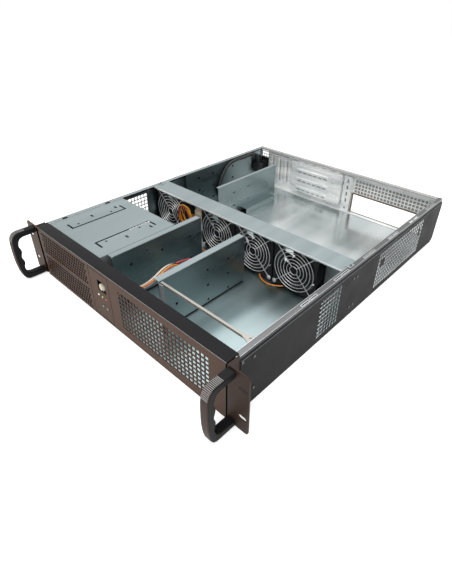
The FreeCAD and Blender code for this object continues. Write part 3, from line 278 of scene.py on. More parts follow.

# %% [markdown]
# In front of the fan wall the floor is painted darker, as painted shade, and its gloss is softer
# than behind it. It is one sheet, so a second material would leave a hard edge where the wall
# doesn't cover it. A ramp along Y, hidden under the wall, darkens the tint with painted shade and
# softens the gloss in front instead.

# %% The floor's two tones
# The tint below darkens the floor in front of the fan wall as painted shade.
FRONT_SHADE_TINT = (0.52, 0.61, 0.625, 1)
FRONT_ROUGHER = 0.14
MIX_FIRST, MIX_SECOND, MIX_RESULT = 6, 7, 2
tree = floor_zinc.node_tree
floor_shader = tree.nodes["Principled BSDF"]
plain_tint = floor_shader.inputs["Base Color"].links[0].from_node
plain_gloss = floor_shader.inputs["Roughness"].links[0].from_node
place = add_node(tree, "TexCoord")
split = add_node(tree, "SeparateXYZ")
share = add_node(tree, "MapRange", {"From Min": 0.002, "From Max": 0.01, "To Min": 1.0, "To Max": 0.0})
front_shade = add_node(tree, "Mix", {}, data_type="RGBA", blend_type="MULTIPLY")
front_shade.inputs[MIX_SECOND].default_value = FRONT_SHADE_TINT
softer = add_node(tree, "Math", {1: FRONT_ROUGHER}, operation="MULTIPLY_ADD")
wire_up(
    tree,
    (place, "Object", split, "Vector"),
    (split, "Y", share, "Value"),
    (share, "Result", front_shade, "Factor"),
    (plain_tint, "Color", front_shade, MIX_FIRST),
    (front_shade, MIX_RESULT, floor_shader, "Base Color"),
    (share, "Result", softer, 0),
    (plain_gloss, "Result", softer, 2),
    (softer, 0, floor_shader, "Roughness"),
)
print("floor in two tones")

# %% [markdown]
# ## Studio
# The photograph has a pure white ground. The floor is pale and takes the case's shadow, and the
# world shows white only to the camera and to reflections, so the lamps can stay at a plain level.


# %% Floor and world
def seen_ray(tree):
    """A node that gives 1 for rays of the camera, of reflections and through clear material."""
    rays = add_node(tree, "LightPath")
    either = add_node(tree, "Math", operation="MAXIMUM")
    any_ray = add_node(tree, "Math", operation="MAXIMUM")
    wire_up(
        tree,
        (rays, "Is Camera Ray", either, 0),
        (rays, "Is Glossy Ray", either, 1),
        (either, 0, any_ray, 0),
        (rays, "Is Transmission Ray", any_ray, 1),
    )
    return any_ray


let_go()
bpy.ops.mesh.primitive_plane_add(size=8, location=(0, 0, -0.0004))
studio_floor = bpy.context.object
studio_floor.name = "studio_floor"
paper = bpy.data.materials.new("studio_paper")
paper.use_nodes = True
paper_shader = paper.node_tree.nodes["Principled BSDF"]
paper_shader.inputs["Base Color"].default_value = (0.86, 0.86, 0.86, 1)
paper_shader.inputs["Roughness"].default_value = 0.9
paper_shader.inputs["Emission Color"].default_value = (1, 1, 1, 1)
lift = add_node(paper.node_tree, "Math", {1: 0.45}, operation="MULTIPLY")
seen = seen_ray(paper.node_tree)
wire_up(paper.node_tree, (seen, 0, lift, 0), (lift, 0, paper_shader, "Emission Strength"))
studio_floor.data.materials.append(paper)

world = bpy.data.worlds.new("studio")
world.use_nodes = True
bpy.context.scene.world = world
glow = world.node_tree.nodes["Background"]
glow.inputs["Color"].default_value = (1, 1, 1, 1)
strength = add_node(world.node_tree, "MapRange", {"To Min": 0.75, "To Max": 1.0})
seen = seen_ray(world.node_tree)
wire_up(world.node_tree, (seen, 0, strength, "Value"), (strength, "Result", glow, "Strength"))
print("white ground ready")

# %% [markdown]
# Three large soft lamps stand for the photographer's: one overhead, one from the front, and a
# smaller one that reaches the bright rear panel over the fan wall. Small lamps would be quicker to
# place, but they draw hard glints on plated steel.


# %% Lamps
def softbox(name, place, aim, size, watts):
    """A square area lamp that looks at a point."""
    lamp = bpy.data.lights.new(name, "AREA")
    lamp.shape = "SQUARE"
    lamp.size = size
    lamp.energy = watts
    lamp_object = bpy.data.objects.new(name, lamp)
    lamp_object.location = place
    towards = Vector(aim) - Vector(place)
    lamp_object.rotation_euler = towards.to_track_quat("-Z", "Y").to_euler()
    bpy.context.scene.collection.objects.link(lamp_object)
    print("lamp", name, watts, "W")


softbox("overhead", (-0.15, 0.35, 1.5), (0, 0, 0), 1.4, 13)
softbox("front_fill", (0.9, -1.3, 0.9), (0, 0, 0.04), 1.0, 7)
softbox("panel_fill", (0.25, -0.7, 1.3), (0.05, 0.3, 0.05), 0.7, 6)

# %% [markdown]
# ## Wiring
# Wires come first, because their length has to agree with the CAD tubes. Each one is a smooth
# NURBS line through a few given points. The spline's order and its held ends are set after
# the points are in, because before that Blender quietly keeps straight runs.


# %% A wire from its points
def wire_curve(name, route, radius):
    """A curve object with one smooth spline; radius 0 leaves the bare middle line."""
    line = bpy.data.curves.new(name, "CURVE")
    line.dimensions = "3D"
    line.resolution_u = 12
    line.bevel_depth = radius
    line.bevel_resolution = 3
    line.use_fill_caps = True
    spline = line.splines.new("NURBS")
    spline.points.add(len(route) - 1)
    for point, place in zip(spline.points, route):
        point.co = (*at(*place), 1)
    spline.order_u = 3
    spline.use_endpoint_u = True
    piece = bpy.data.objects.new(name, line)
    bpy.context.scene.collection.objects.link(piece)
    return piece


def line_points(route):
    """Close points along the smooth line of a route, read from a bare curve."""
    bare = wire_curve("bare_line", route, 0)
    mesh = bpy.data.meshes.new_from_object(bare)
    points = [vertex.co.copy() for vertex in mesh.vertices]
    bpy.data.objects.remove(bare)
    bpy.data.meshes.remove(mesh)
    return points


def run_length(points):
    return sum((b - a).length for a, b in zip(points, points[1:]))


# %% The routes
POWER_LEAD_ROUTE = [
    (-200.0, 531.0, 56.3), (-200.0, 530.0, 70.0), (-200.2, 520.5, 80.0), (-200.4, 504.0, 82.6),
    (-200.4, 482.0, 80.6), (-200.4, 458.0, 82.8), (-200.4, 435.0, 80.0), (-200.4, 417.0, 66.0),
    (-200.4, 406.0, 47.0), (-200.2, 399.5, 31.0), (-199.8, 400.5, 17.5), (-199.0, 408.5, 8.0),
    (-197.6, 420.0, 4.8), (-195.8, 436.0, 5.2), (-194.6, 454.3, 8.2),
]
FRONT_BUNDLE_ROUTE = [
    (-22.0, 10.8, 46.0), (-21.0, 19.0, 46.5), (-13.0, 27.0, 48.5), (-1.0, 34.0, 53.0),
    (10.0, 44.0, 59.0), (15.5, 59.0, 67.5), (15.5, 77.0, 75.5), (14.0, 94.0, 74.5),
    (15.5, 107.0, 64.0), (19.0, 115.0, 48.0), (23.0, 123.0, 31.0), (26.0, 135.0, 17.0),
    (27.0, 147.5, 10.8),
]
RED_LEAD_ROUTE = [
    (7.8, 103.0, 68.6), (10.5, 120.0, 69.5), (16.0, 139.0, 63.0), (23.0, 153.0, 49.0),
    (27.5, 161.0, 32.0), (29.0, 162.4, 15.5),
]
FAN_LEAD_2_ROUTE = [
    (-110.0, 238.4, 18.0), (-98.0, 232.0, 11.0), (-80.0, 228.0, 7.0), (-60.0, 227.5, 5.0),
    (-42.0, 230.5, 5.2), (-27.0, 238.4, 6.2),
]
FAN_LEAD_3_ROUTE = [
    (56.0, 238.7, 6.2), (63.0, 232.0, 5.6), (77.0, 228.8, 3.4), (92.0, 231.0, 4.2),
    (105.0, 238.3, 6.2),
]
COIL_TURNS = [
    (-107.0, 240.5, 36.0), (-105.5, 236.0, 44.0), (-105.0, 233.0, 55.0), (-107.0, 231.0, 66.0),
    (-112.0, 229.5, 73.5), (-119.0, 228.5, 75.5), (-126.0, 228.0, 72.0), (-130.5, 228.0, 63.5),
    (-131.5, 228.5, 53.0), (-129.0, 229.5, 43.0), (-124.0, 230.5, 35.0), (-117.0, 231.5, 30.5),
    (-110.5, 232.5, 33.0), (-107.5, 233.8, 41.0), (-107.0, 234.8, 51.0), (-109.0, 235.4, 61.0),
    (-113.5, 235.6, 68.0), (-119.5, 235.2, 69.5), (-124.5, 234.6, 64.5), (-127.0, 234.2, 56.0),
    (-126.0, 234.2, 47.0), (-122.5, 234.6, 40.0), (-117.5, 235.2, 37.5), (-112.5, 236.4, 41.0),
    (-110.0, 238.6, 49.0), (-109.5, 243.0, 56.0),
]


# %% Single leads
def single_lead(name, route, radius, colour):
    """A lead of one thickness that stands for its CAD tube."""
    lead = wire_curve(f"{name}_line", route, radius * MM)
    lead.data.materials.append(colour)
    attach(lead, "case")
    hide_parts(name)
    length = run_length(line_points(route))
    print(name, "length", round(length * 1000, 1), "mm")


# The strain relief follows the first bend of the lead, thick at the plug and thin at its end
first, second, third = POWER_LEAD_ROUTE[:3]
relief_end = tuple((a + b) / 2 for a, b in zip(second, third))
relief = wire_curve("power_lead_relief", [first, second, relief_end], 3.6 * MM)
for point, share in zip(relief.data.splines[0].points, (1.5, 1.3, 1.02)):
    point.radius = share
relief.data.materials.append(lead_rubber)
take_up(relief)
bpy.ops.object.convert(target="MESH")
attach(relief, "case")
single_lead("power_lead", POWER_LEAD_ROUTE, 3.4, lead_rubber)
single_lead("red_lead", RED_LEAD_ROUTE, 1.4, red_plastic)

# %% [markdown]
# The other leads are bundles of thin wires. Each strand follows the bundle's middle line a little
# to one side, and its distance sways along the line, so the strands spread and twist together as
# a real bundle does. The fans' leads are a pair, the controls' lead is a flat ribbon with three
# coloured wires lying on it, and the first fan's spare wire is gathered in loose turns beside its
# frame. The turns differ in size and lean, because only the connectors hold them.


# %% Strands round a middle line
def strand(points, across, up, radius, colour):
    """A thin wire beside the middle line, moved sideways and upwards from it."""
    line = bpy.data.curves.new("strand", "CURVE")
    line.dimensions = "3D"
    line.bevel_depth = radius * MM
    line.bevel_resolution = 1
    line.use_fill_caps = True
    spline = line.splines.new("POLY")
    spline.points.add(len(points) - 1)
    for number, point in enumerate(points):
        before = points[max(0, number - 1)]
        after = points[min(len(points) - 1, number + 1)]
        along = (after - before).normalized()
        side = along.cross(Vector((0, 0, 1))).normalized()
        share = number / (len(points) - 1)
        place = point + side * across(share) + side.cross(along) * up(share)
        spline.points[number].co = (*place, 1)
    line.materials.append(colour)
    piece = bpy.data.objects.new("strand", line)
    bpy.context.scene.collection.objects.link(piece)
    return piece


def sway(level, swing=0.0, beat=0.0, start=0.0):
    """A distance in millimetres that swings round a level as the share of the line grows."""
    return lambda share: (level + swing * math.sin(share * beat + start)) * MM


def wire_bundle(name, node, route, every, strands):
    """Strands through every so many points of a route, as one piece that stands for a CAD tube."""
    path = line_points(route)
    thinned = path[::every] + [path[-1]]
    wires = [strand(thinned, *settings) for settings in strands]
    take_up(*wires)
    bpy.ops.object.convert(target="MESH")
    bpy.ops.object.join()
    bundle = bpy.context.object
    bundle.name = name
    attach(bundle, "case")
    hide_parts(node)
    print(node, "length", round(run_length(path) * 1000, 1), "mm")


# %% The bundles
for number, route in ((2, FAN_LEAD_2_ROUTE), (3, FAN_LEAD_3_ROUTE)):
    pair = [(sway(0.62), sway(0), 0.66, yellow_plastic), (sway(-0.62), sway(0), 0.66, red_plastic)]
    wire_bundle(f"fan_lead_{number}_wires", f"fan_lead_{number}", route, 3, pair)

ribbon = []
for number in range(8):
    ribbon.append((sway((number - 3.5) * 1.25), sway(0, 0.5, 9, number * 0.7), 0.92, ribbon_plastic))
for shift, colour in ((0.6, black_paint), (2.2, yellow_plastic), (3.9, red_plastic)):
    ribbon.append((sway(shift, 0.7, 9, shift), sway(1.3, 0.6, 11, shift), 0.75, colour))
wire_bundle(
    "front_bundle_wires",
    "front_bundle",
    FRONT_BUNDLE_ROUTE,
    4,
    ribbon,
)

QUARTER_TURN = math.pi / 2
turns = []
for shift, rise, colour in (
    (0, 0, yellow_plastic),
    (1.9, 0.5, black_paint),
    (-1.8, -0.6, red_plastic),
    (0.4, 1.9, yellow_plastic),
    (-1.2, 1.5, yellow_plastic),
    (1.4, -1.5, red_plastic),
    (-0.5, -1.9, yellow_plastic),
):
    turns.append((sway(0, shift, 14, QUARTER_TURN), sway(rise, shift / 2, 14), 0.85, colour))
wire_bundle("fan_wire_turns", "fan_wire_coil", COIL_TURNS, 3, turns)

# %% [markdown]
# ## Sheet metal on the bench
# Every panel of this case starts as a flat blank with its holes punched, and is then stood up in
# its place. The same works in Blender. The outline and the holes are drawn as bare edges lying
# flat, one fill makes the sheet with all its holes at once, and one extrusion gives it its gauge.
# Holes in rows are one outline repeated by two Array modifiers, as a turret punch would do it.


# %% Small steps that repeat
def freeze():
    """Puts the active piece's place, turn and scale into its mesh."""
    bpy.ops.object.transform_apply(location=True, rotation=True, scale=True)


def change(piece, kind, **settings):
    """Adds a modifier with its settings and applies it."""
    modifier = piece.modifiers.new("change", kind)
    for name, value in settings.items():
        setattr(modifier, name, value)
    bpy.ops.object.modifier_apply(modifier=modifier.name)


def duplicate(piece):
    take_up(piece)
    bpy.ops.object.duplicate(linked=False)
    return bpy.context.object


def join_all(pieces, name):
    take_up(*pieces)
    if len(pieces) > 1:
        bpy.ops.object.join()
    whole = bpy.context.object
    whole.name = name
    whole.data.name = name
    return whole


def settle(piece, name):
    """Puts a piece's place into its mesh, turns its faces outwards and smooths gentle edges."""
    take_up(piece)
    freeze()
    bpy.ops.object.mode_set(mode="EDIT")
    bpy.ops.mesh.select_all(action="SELECT")
    bpy.ops.mesh.normals_make_consistent(inside=False)
    bpy.ops.object.mode_set(mode="OBJECT")
    bpy.ops.object.shade_smooth_by_angle(angle=math.radians(32))
    piece.name = name
    piece.data.name = name
    return piece


# %% Drawing a blank
def begin_blank():
    """An empty mesh lying flat on the bench, open in edit mode."""
    let_go()
    bpy.ops.mesh.primitive_plane_add(size=1)
    bpy.ops.object.mode_set(mode="EDIT")
    bpy.ops.mesh.delete(type="VERT")


def draw_window(left, low, right, high, corner=0.0):
    """A rectangle of bare edges, in millimetres, with rounded corners if wanted."""
    middle = ((left + right) / 2 * MM, (low + high) / 2 * MM, 0)
    bpy.ops.mesh.primitive_plane_add(size=1, location=middle)
    bpy.ops.transform.resize(value=((right - left) * MM, (high - low) * MM, 1), center_override=middle)
    bpy.ops.mesh.delete(type="ONLY_FACE")
    if corner:
        bpy.ops.mesh.bevel(affect="VERTICES", offset=corner * MM, segments=5)


def draw_hole(x, z, radius, sides=16):
    centre = (x * MM, z * MM, 0)
    bpy.ops.mesh.primitive_circle_add(
        vertices=sides, radius=radius * MM, fill_type="NOTHING", location=centre
    )


def draw_path(points):
    """A closed outline of bare edges, corner after corner, begun from a single point."""
    x, z = points[0]
    bpy.ops.mesh.primitive_plane_add(size=0.001, location=(x * MM, z * MM, 0))
    bpy.ops.mesh.merge(type="CENTER")
    for before, after in zip(points, [*points[1:], points[0]]):
        step = ((after[0] - before[0]) * MM, (after[1] - before[1]) * MM, 0)
        bpy.ops.mesh.extrude_region_move(TRANSFORM_OT_translate={"value": step})
    bpy.ops.mesh.select_all(action="SELECT")
    bpy.ops.mesh.remove_doubles(threshold=SAME_POINT)


# %% Rows of holes
def hole_rows(draw, pitch, counts):
    """One outline repeated along a row, and the row repeated upwards."""
    begin_blank()
    draw()
    bpy.ops.object.mode_set(mode="OBJECT")
    rows = bpy.context.object
    for offset, count in (((pitch[0] * MM, 0, 0), counts[0]), ((0, pitch[1] * MM, 0), counts[1])):
        change(
            rows,
            "ARRAY",
            use_relative_offset=False,
            use_constant_offset=True,
            constant_offset_displace=offset,
            count=count,
        )
    return rows


def square_rows(left, low, side, pitch, counts):
    """Rows of square holes, begun from the lowest one on the left."""
    return hole_rows(lambda: draw_window(left, low, left + side, low + side), pitch, counts)


def staggered_rows(left, low, pitch, counts, draw_at):
    """Rows of holes, every other one shifted by half a pitch and one hole shorter."""
    across, up = pitch
    columns, rows = counts
    straight = hole_rows(lambda: draw_at(left, low), (across, 2 * up), (columns, (rows + 1) // 2))
    shifted = hole_rows(
        lambda: draw_at(left + across / 2, low + up), (across, 2 * up), (columns - 1, rows // 2)
    )
    return [straight, shifted]


# %% Filling, thickening and standing a blank
FACING = {
    "floor": Matrix(((1, 0, 0), (0, 1, 0), (0, 0, 1))),
    "front": Matrix(((1, 0, 0), (0, 0, 1), (0, 1, 0))),
    "side": Matrix(((0, 0, 1), (1, 0, 0), (0, 1, 0))),
}


def stand_up(name, facing, place, gauge):
    """Fills the open blank round its holes, thickens it and stands it at its place."""
    bpy.ops.mesh.select_all(action="SELECT")
    bpy.ops.mesh.fill(use_beauty=False)
    bpy.ops.mesh.select_all(action="SELECT")
    bpy.ops.mesh.extrude_region_move(TRANSFORM_OT_translate={"value": (0, 0, gauge * MM)})
    bpy.ops.object.mode_set(mode="OBJECT")
    blank = bpy.context.object
    start = {"floor": at(0, 0, place), "front": at(0, place, 0), "side": at(place, 0, 0)}[facing]
    blank.matrix_world = Matrix.Translation(start) @ FACING[facing].to_4x4()
    return settle(blank, name)


def sheet(name, facing, place, gauge, outline, windows=(), holes=(), rows=(), edge=0.0):
    """A flat sheet with its holes, gauge millimetres thick, stood up at its place.

    place is the x, the depth or the height of the sheet's first face, whichever its facing needs.
    An outline of two points is a rectangle between them, its corners rounded by edge.
    """
    begin_blank()
    if len(outline) == 2:
        draw_window(*outline[0], *outline[1], edge)
    else:
        draw_path(outline)
    for window in windows:
        draw_window(*window)
    for hole in holes:
        draw_hole(*hole)
    bpy.ops.object.mode_set(mode="OBJECT")
    join_all([bpy.context.object, *rows], name)
    bpy.ops.object.mode_set(mode="EDIT")
    return stand_up(name, facing, place, gauge)


# %% Bars and finishing
def bar(low_corner, high_corner, bevel=0.3, segments=2):
    """A block between two corners, its edges broken by a bevel."""
    let_go()
    low, high = at(*low_corner), at(*high_corner)
    middle = (low + high) / 2
    bpy.ops.mesh.primitive_cube_add(size=1, location=middle)
    piece = bpy.context.object
    bpy.ops.object.mode_set(mode="EDIT")
    bpy.ops.transform.resize(value=tuple(high - low), center_override=tuple(middle))
    if bevel:
        bpy.ops.mesh.bevel(affect="EDGES", offset=bevel * MM, segments=segments)
    bpy.ops.object.mode_set(mode="OBJECT")
    freeze()
    return piece


def paint(piece, *materials, pick=None):
    """Gives a piece its finishes; pick is the one for all its faces, or a rule for each face."""
    piece.data.materials.clear()
    for material in materials:
        piece.data.materials.append(material)
    if pick is not None:
        for face in piece.data.polygons:
            face.material_index = pick(face) if callable(pick) else pick


def hand_over(piece, body, nodes=()):
    """Says which body a finished piece rides on and which CAD nodes it stands for."""
    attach(piece, body)
    if nodes:
        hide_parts(*nodes)
    print(piece.name, len(piece.data.polygons), "faces")


# %% [markdown]
# ## Shell
# Floor, walls and rails are one folded sheet. Outside it is painted dark; inside and on the rails
# the zinc shows. Each wall has two fields of square holes, and the long one keeps two small blanks
# where the slides of a rack are screwed on. The rail along its top steps inwards, so that a lid
# can lie flush, and carries short slots for the lid's hooks. Each slot has a thin bright rim, and
# thin bright lines run along the rail's edges; rims and lines are painted highlights. The step and
# the right rail take darker copies of the zinc than the left rail, as painted shade. A box with its
# top deleted would be quicker, but a flat blank for each side takes its holes before it is stood up.

# %% Floor
floor_outline = corners(-WALL_INSIDE, SHELL_FRONT, WALL_INSIDE, CASE_DEPTH)
floor_sheet = sheet("floor_sheet", "floor", 0, GAUGE, floor_outline)
tongue = sheet("tongue", "floor", 0, GAUGE, corners(-210.6, 1.6, 210.6, SHELL_FRONT))
print("floor", len(floor_sheet.data.polygons))

# %% Walls
WALL_SCREWS = [(19.7, 77), (38.8, 72.7), (39.6, 22.6), (250.2, 67.9)]
WALL_SCREWS += [(251.9, 16.8), (259.7, 67.1), (261.7, 16.2)]
LID_SLOTS = ((130, 162), (204, 238), (280, 310), (355, 385), (428, 458), (494, 529))
WALL_TOP = 79.6
WALL_VENTS = ((168.8, (7, 9)), (326.8, (22, 9)))
VENT_SQUARE, VENT_PITCH = 5.7, (7.2, 7.2)
SLOT_BRIDGE = 1.6
SLOT_HALF = 0.9
HIGHLIGHT_RIM_WIDTH = 0.9


def mirrored(near, far, side):
    """Two distances from the middle as x, on the right or, in rising order too, on the left."""
    return (near, far) if side > 0 else (-far, -near)


def wall(side):
    """One side wall with its two vents, and the stepped rail above it."""
    vents = [square_rows(start, 10.8, VENT_SQUARE, VENT_PITCH, counts) for start, counts in WALL_VENTS]
    outline = [(SHELL_FRONT, 0), (553, 0), (CASE_DEPTH, 7), (CASE_DEPTH, WALL_TOP), (SHELL_FRONT, WALL_TOP)]
    place = mirrored(212.8, 214, side)[0]
    face = sheet("wall", "side", place, GAUGE, outline, rows=vents)
    blanks = []
    for start, end in ((333.4, 347.6), (470.2, 477.2)):
        blanks.append(bar((place + 0.05, start, 46.0), (place + 1.15, end, 60.4), 0, 1))
    step_outline = corners(SHELL_FRONT, WALL_TOP, CASE_DEPTH, 86.4)
    step = sheet("step", "side", mirrored(211, 212.2, side)[0], GAUGE, step_outline)
    inner, outer = mirrored(211.2, 214.15, side)
    ledge = bar((inner, 17.2, 79.2), (outer, 559.8, 79.9), 0.15, 1)
    slots = []
    for start, end in LID_SLOTS:
        middle = (start + end) / 2
        for low, high in ((start, middle - SLOT_BRIDGE), (middle + SLOT_BRIDGE, end)):
            slots.append((209.4 * side - SLOT_HALF, low, 209.4 * side + SLOT_HALF, high))
    inner, outer = mirrored(204.4, 212.2, side)
    outline = corners(inner, SHELL_FRONT, outer, CASE_DEPTH)
    rail = sheet("rail", "floor", LID_LEVEL, GAUGE, outline, windows=slots)
    highlight_lines = []
    for left, start, right, end in slots:
        rim = corners(left - HIGHLIGHT_RIM_WIDTH, start - HIGHLIGHT_RIM_WIDTH, right + HIGHLIGHT_RIM_WIDTH, end + HIGHLIGHT_RIM_WIDTH)
        highlight_lines.append(sheet("slot_highlight_rim", "floor", 86.4, 0.3, rim, windows=[(left, start, right, end)]))
    for near, far in ((204.3, 204.8), (211.9, 212.3)):
        inner, outer = mirrored(near, far, side)
        highlight_lines.append(bar((inner, 17.2, 86.3), (outer, 559.8, 86.6), 0.1, 1))
    # The step's darker zinc is painted shade in its recess, the right rail's darker zinc is painted shade,
    # and the rims and lines are painted highlights.
    shades = [(step, 1), (ledge, 0), (rail, 0 if side > 0 else 3)] + [(line, 2) for line in highlight_lines]
    for piece, shade in shades:
        paint(piece, shaded_zinc, recess_shade_zinc, bright_zinc_and_highlight, zinc, pick=shade)
    return [face, *blanks], [piece for piece, shade in shades]


def shell_shade(face):
    """Zinc on the floor and on the walls' insides; on the vents' cut edges a bright zinc, partly painted
    highlight.
    """
    x, depth, z = measured(face.center)
    if face.normal.z > 0.9 and z < 3:
        return 1
    if abs(face.normal.x) > 0.9 and face.normal.x * x < 0:
        return 2
    return 3 if abs(face.normal.x) < 0.3 and 10.5 < z < 76 and abs(x) > 200 else 0


right_wall, right_rail = wall(1)
left_wall, left_rail = wall(-1)
shell = join_all([floor_sheet, tongue, *right_wall, *left_wall], "shell_sheet")
paint(shell, dark_paint, floor_zinc, zinc_web, bright_zinc_and_highlight, pick=shell_shade)
hand_over(shell, "case", ["chassis_tub"])
rails = join_all([*right_rail, *left_rail], "lid_rails")
hand_over(rails, "case", [])
bumpers = [bar((-207.6, depth - 4.2, 86.2), (-202.8, depth + 4.2, 87.1), 0.7, 2) for depth in (48, 129)]
bumpers = settle(join_all(bumpers, "rail_bumpers"), "rail_bumpers")
paint(bumpers, black_paint)
hand_over(bumpers, "case")

# %% [markdown]
# ## Bezel
# The bezel is perforated in two ways: two bands of small round holes on the left, each row
# shifted by half a pitch, and one field of square holes on the right. All holes and the bay for
# the controls are in the flat blank before it is filled, so no hole needs a cut of its own. Its
# front faces are painted bronze, a painted warm reflection on the black paint. Near-black strips in
# the gaps beside it are painted shadow. Its top is a separate plate with a rounded front edge, whose
# slanting faces are painted light grey as a highlight along the whole width.

# %% Bezel
BEZEL_LEFT, BEZEL_RIGHT = -203.5, 208.4
small_holes = []
for low in (6.8, 49.2):
    small_holes += staggered_rows(-192.9, low, (5.95, 5.25), (22, 7), lambda x, z: draw_hole(x, z, 2.3, 12))
bezel_face = sheet(
    "bezel_face",
    "front",
    0,
    1.0,
    corners(BEZEL_LEFT, 0, BEZEL_RIGHT, 87),
    windows=[(-58.4, 3.6, -9.6, 84.4, 1.2)],
    rows=[*small_holes, square_rows(13.4, 14.4, 5.2, (7.11, 7.03), (24, 9))],
)
bezel_folds = [
    bar((BEZEL_LEFT, 0.9, 1.2), (-202.3, 14, 86.6), 0.2, 1),
    bar((207.2, 0.9, 1.2), (BEZEL_RIGHT, 14, 86.6), 0.2, 1),
    bar((BEZEL_LEFT, 0.9, 1.2), (BEZEL_RIGHT, 14, 2.7), 0.2, 1),
]
# Near-black strips in the gaps beside the bezel, painted shadow.
gap_shadow_strips = [
    bar((-210.7, 0.3, 1.2), (-210.0, 8.2, 86.2), 0, 1),
    bar((-210.7, 8, 1.2), (-203.55, 14, 86.2), 0, 1),
    bar((208.45, 4, 1.2), (210.7, 14, 86.2), 0, 1),
]


def bezel_shade(face):
    """Bronze in front as a painted warm reflection, black inside, near-black painted shadow in the gaps, and
    zinc on the fold at the foot.
    """
    x, depth, z = measured(face.center)
    if x < BEZEL_LEFT - 0.02 or x > BEZEL_RIGHT + 0.02:
        return 2
    if face.normal.z > 0.9 and 2.6 < z < 2.8:
        return 3
    return 0 if face.normal.y < -0.5 and depth < 0.05 else 1


bezel = join_all([bezel_face, *bezel_folds, *gap_shadow_strips], "bezel_perforated")
paint(bezel, bronze_reflection, black_paint, shadow_black, zinc, pick=bezel_shade)
hand_over(bezel, "case", ["front_bezel"])
top_plate = settle(bar((-209.3, 0, 86.3), (209.3, 19.5, 88), 0.8, 4), "bezel_top")


def edge_highlight(face):
    """The slanting faces along the top's front edge, painted light grey as a highlight."""
    return int(face.normal.y < -0.25 and face.normal.z > 0.25)


paint(top_plate, black_paint, highlight_and_button_grey, pick=edge_highlight)
hand_over(top_plate, "case", [])

# %% [markdown]
# ## Fans
# Each fan is a black plastic frame with a round duct, a rotor with seven swept blades, and a guard
# of bright wire in front. One frame, one rotor and one guard are modelled at the first fan and
# copied to the others, each copy with its own mesh. The rotors ride on their own bodies and turn.

# %% Where the fans stand
FAN_CENTRES = (-168.0, -43.6, 39.2, 122.0)
FAN_HEIGHT = 43.8
FAN_FRONT, FAN_BACK = 240.0, 265.0
SCREW_REACH = 35.75
first_x = FAN_CENTRES[0]
fan_corners = []
for across in (-1, 1):
    for up in (-1, 1):
        fan_corners.append((first_x + SCREW_REACH * across, FAN_HEIGHT + SCREW_REACH * up))
print("fans at", FAN_CENTRES)


# %% Round parts
def cylinder(sides, radius, length, place=(0, 0, 0), turn=(90, 0, 0)):
    """A round bar in metres that lies along the case unless it is turned, in degrees."""
    let_go()
    angles = [math.radians(angle) for angle in turn]
    bpy.ops.mesh.primitive_cylinder_add(
        vertices=sides, radius=radius, depth=length, location=place, rotation=angles
    )
    freeze()
    return bpy.context.object


def disc(x, z, start, end, radius, edge=0.6, sides=40):
    """A round boss along the fan's axis with a softened rim."""
    boss = cylinder(sides, radius * MM, (end - start) * MM, at(x, (start + end) / 2, z))
    change(boss, "BEVEL", width=edge * MM, segments=3, limit_method="ANGLE")
    return boss


def tube(x, z, start, end, outer, inner, sides=56):
    """A ring-shaped wall between two depths."""
    begin_blank()
    draw_hole(x, z, outer, sides)
    draw_hole(x, z, inner, sides)
    return stand_up("ring_wall", "front", start, end - start)


# %% Fan frame
def fan_flange(depth):
    """A square flange with rounded corners, the duct's opening and four screw holes."""
    half = 39.9
    square = ((first_x - half, FAN_HEIGHT - half), (first_x + half, FAN_HEIGHT + half))
    holes = [(first_x, FAN_HEIGHT, 38.4, 56)] + [(x, z, 2.2, 12) for x, z in fan_corners]
    return sheet("flange", "front", depth, 3.6, square, holes=holes, edge=4.5)


frame_parts = [
    fan_flange(FAN_FRONT + 0.1),
    fan_flange(FAN_BACK - 3.7),
    tube(first_x, FAN_HEIGHT, FAN_FRONT + 3, FAN_BACK - 3, 39.7, 38.4),
    disc(first_x, FAN_HEIGHT, 261.2, 264.8, 17.5),
]
for x, z in fan_corners:
    frame_parts.append(tube(x, z, FAN_FRONT + 3, FAN_BACK - 3, 3.9, 2.4, 16))
for angle in (45, 135, 225, 315):
    strut = bar((first_x + 16, 262.2, FAN_HEIGHT - 1.4), (first_x + 38.8, 264.6, FAN_HEIGHT + 1.4), 0.5, 2)
    take_up(strut)
    bpy.ops.object.mode_set(mode="EDIT")
    bpy.ops.mesh.select_all(action="SELECT")
    centre = tuple(at(first_x, 263.4, FAN_HEIGHT))
    bpy.ops.transform.rotate(value=math.radians(angle), orient_axis="Y", center_override=centre)
    bpy.ops.object.mode_set(mode="OBJECT")
    frame_parts.append(strut)
first_frame = settle(join_all(frame_parts, "fan_case_1"), "fan_case_1")
paint(first_frame, fan_plastic)
print("fan frame", len(first_frame.data.polygons), "faces")

# %% [markdown]
# A fan blade is a thin curved plate, set at an angle and swept back at its tip. It starts as a
# subdivided plane, is bent by a Simple Deform, and gets its thickness from Solidify. Seven copies
# go round the hub.

# %% Rotor
BLADES = 7
BLADE_REACH, BLADE_WIDTH = 17.4, 29
BLADE_MIDDLE = 16.2 + 8.8


def fan_blade():
    let_go()
    bpy.ops.mesh.primitive_grid_add(x_subdivisions=6, y_subdivisions=8, size=1)
    blade = bpy.context.object
    bpy.ops.object.mode_set(mode="EDIT")
    bpy.ops.transform.resize(value=(BLADE_REACH * MM, BLADE_WIDTH * MM, 1), center_override=(0, 0, 0))
    bpy.ops.object.mode_set(mode="OBJECT")
    change(blade, "SIMPLE_DEFORM", deform_method="BEND", deform_axis="X", angle=math.radians(42))
    change(blade, "SIMPLE_DEFORM", deform_method="TWIST", deform_axis="X", angle=math.radians(-16))
    change(blade, "SOLIDIFY", thickness=1.2 * MM, offset=0)
    blade.rotation_euler = Euler((math.radians(90 - 33), 0, 0))
    blade.location = (BLADE_MIDDLE * MM, 0, 0)
    freeze()
    return blade


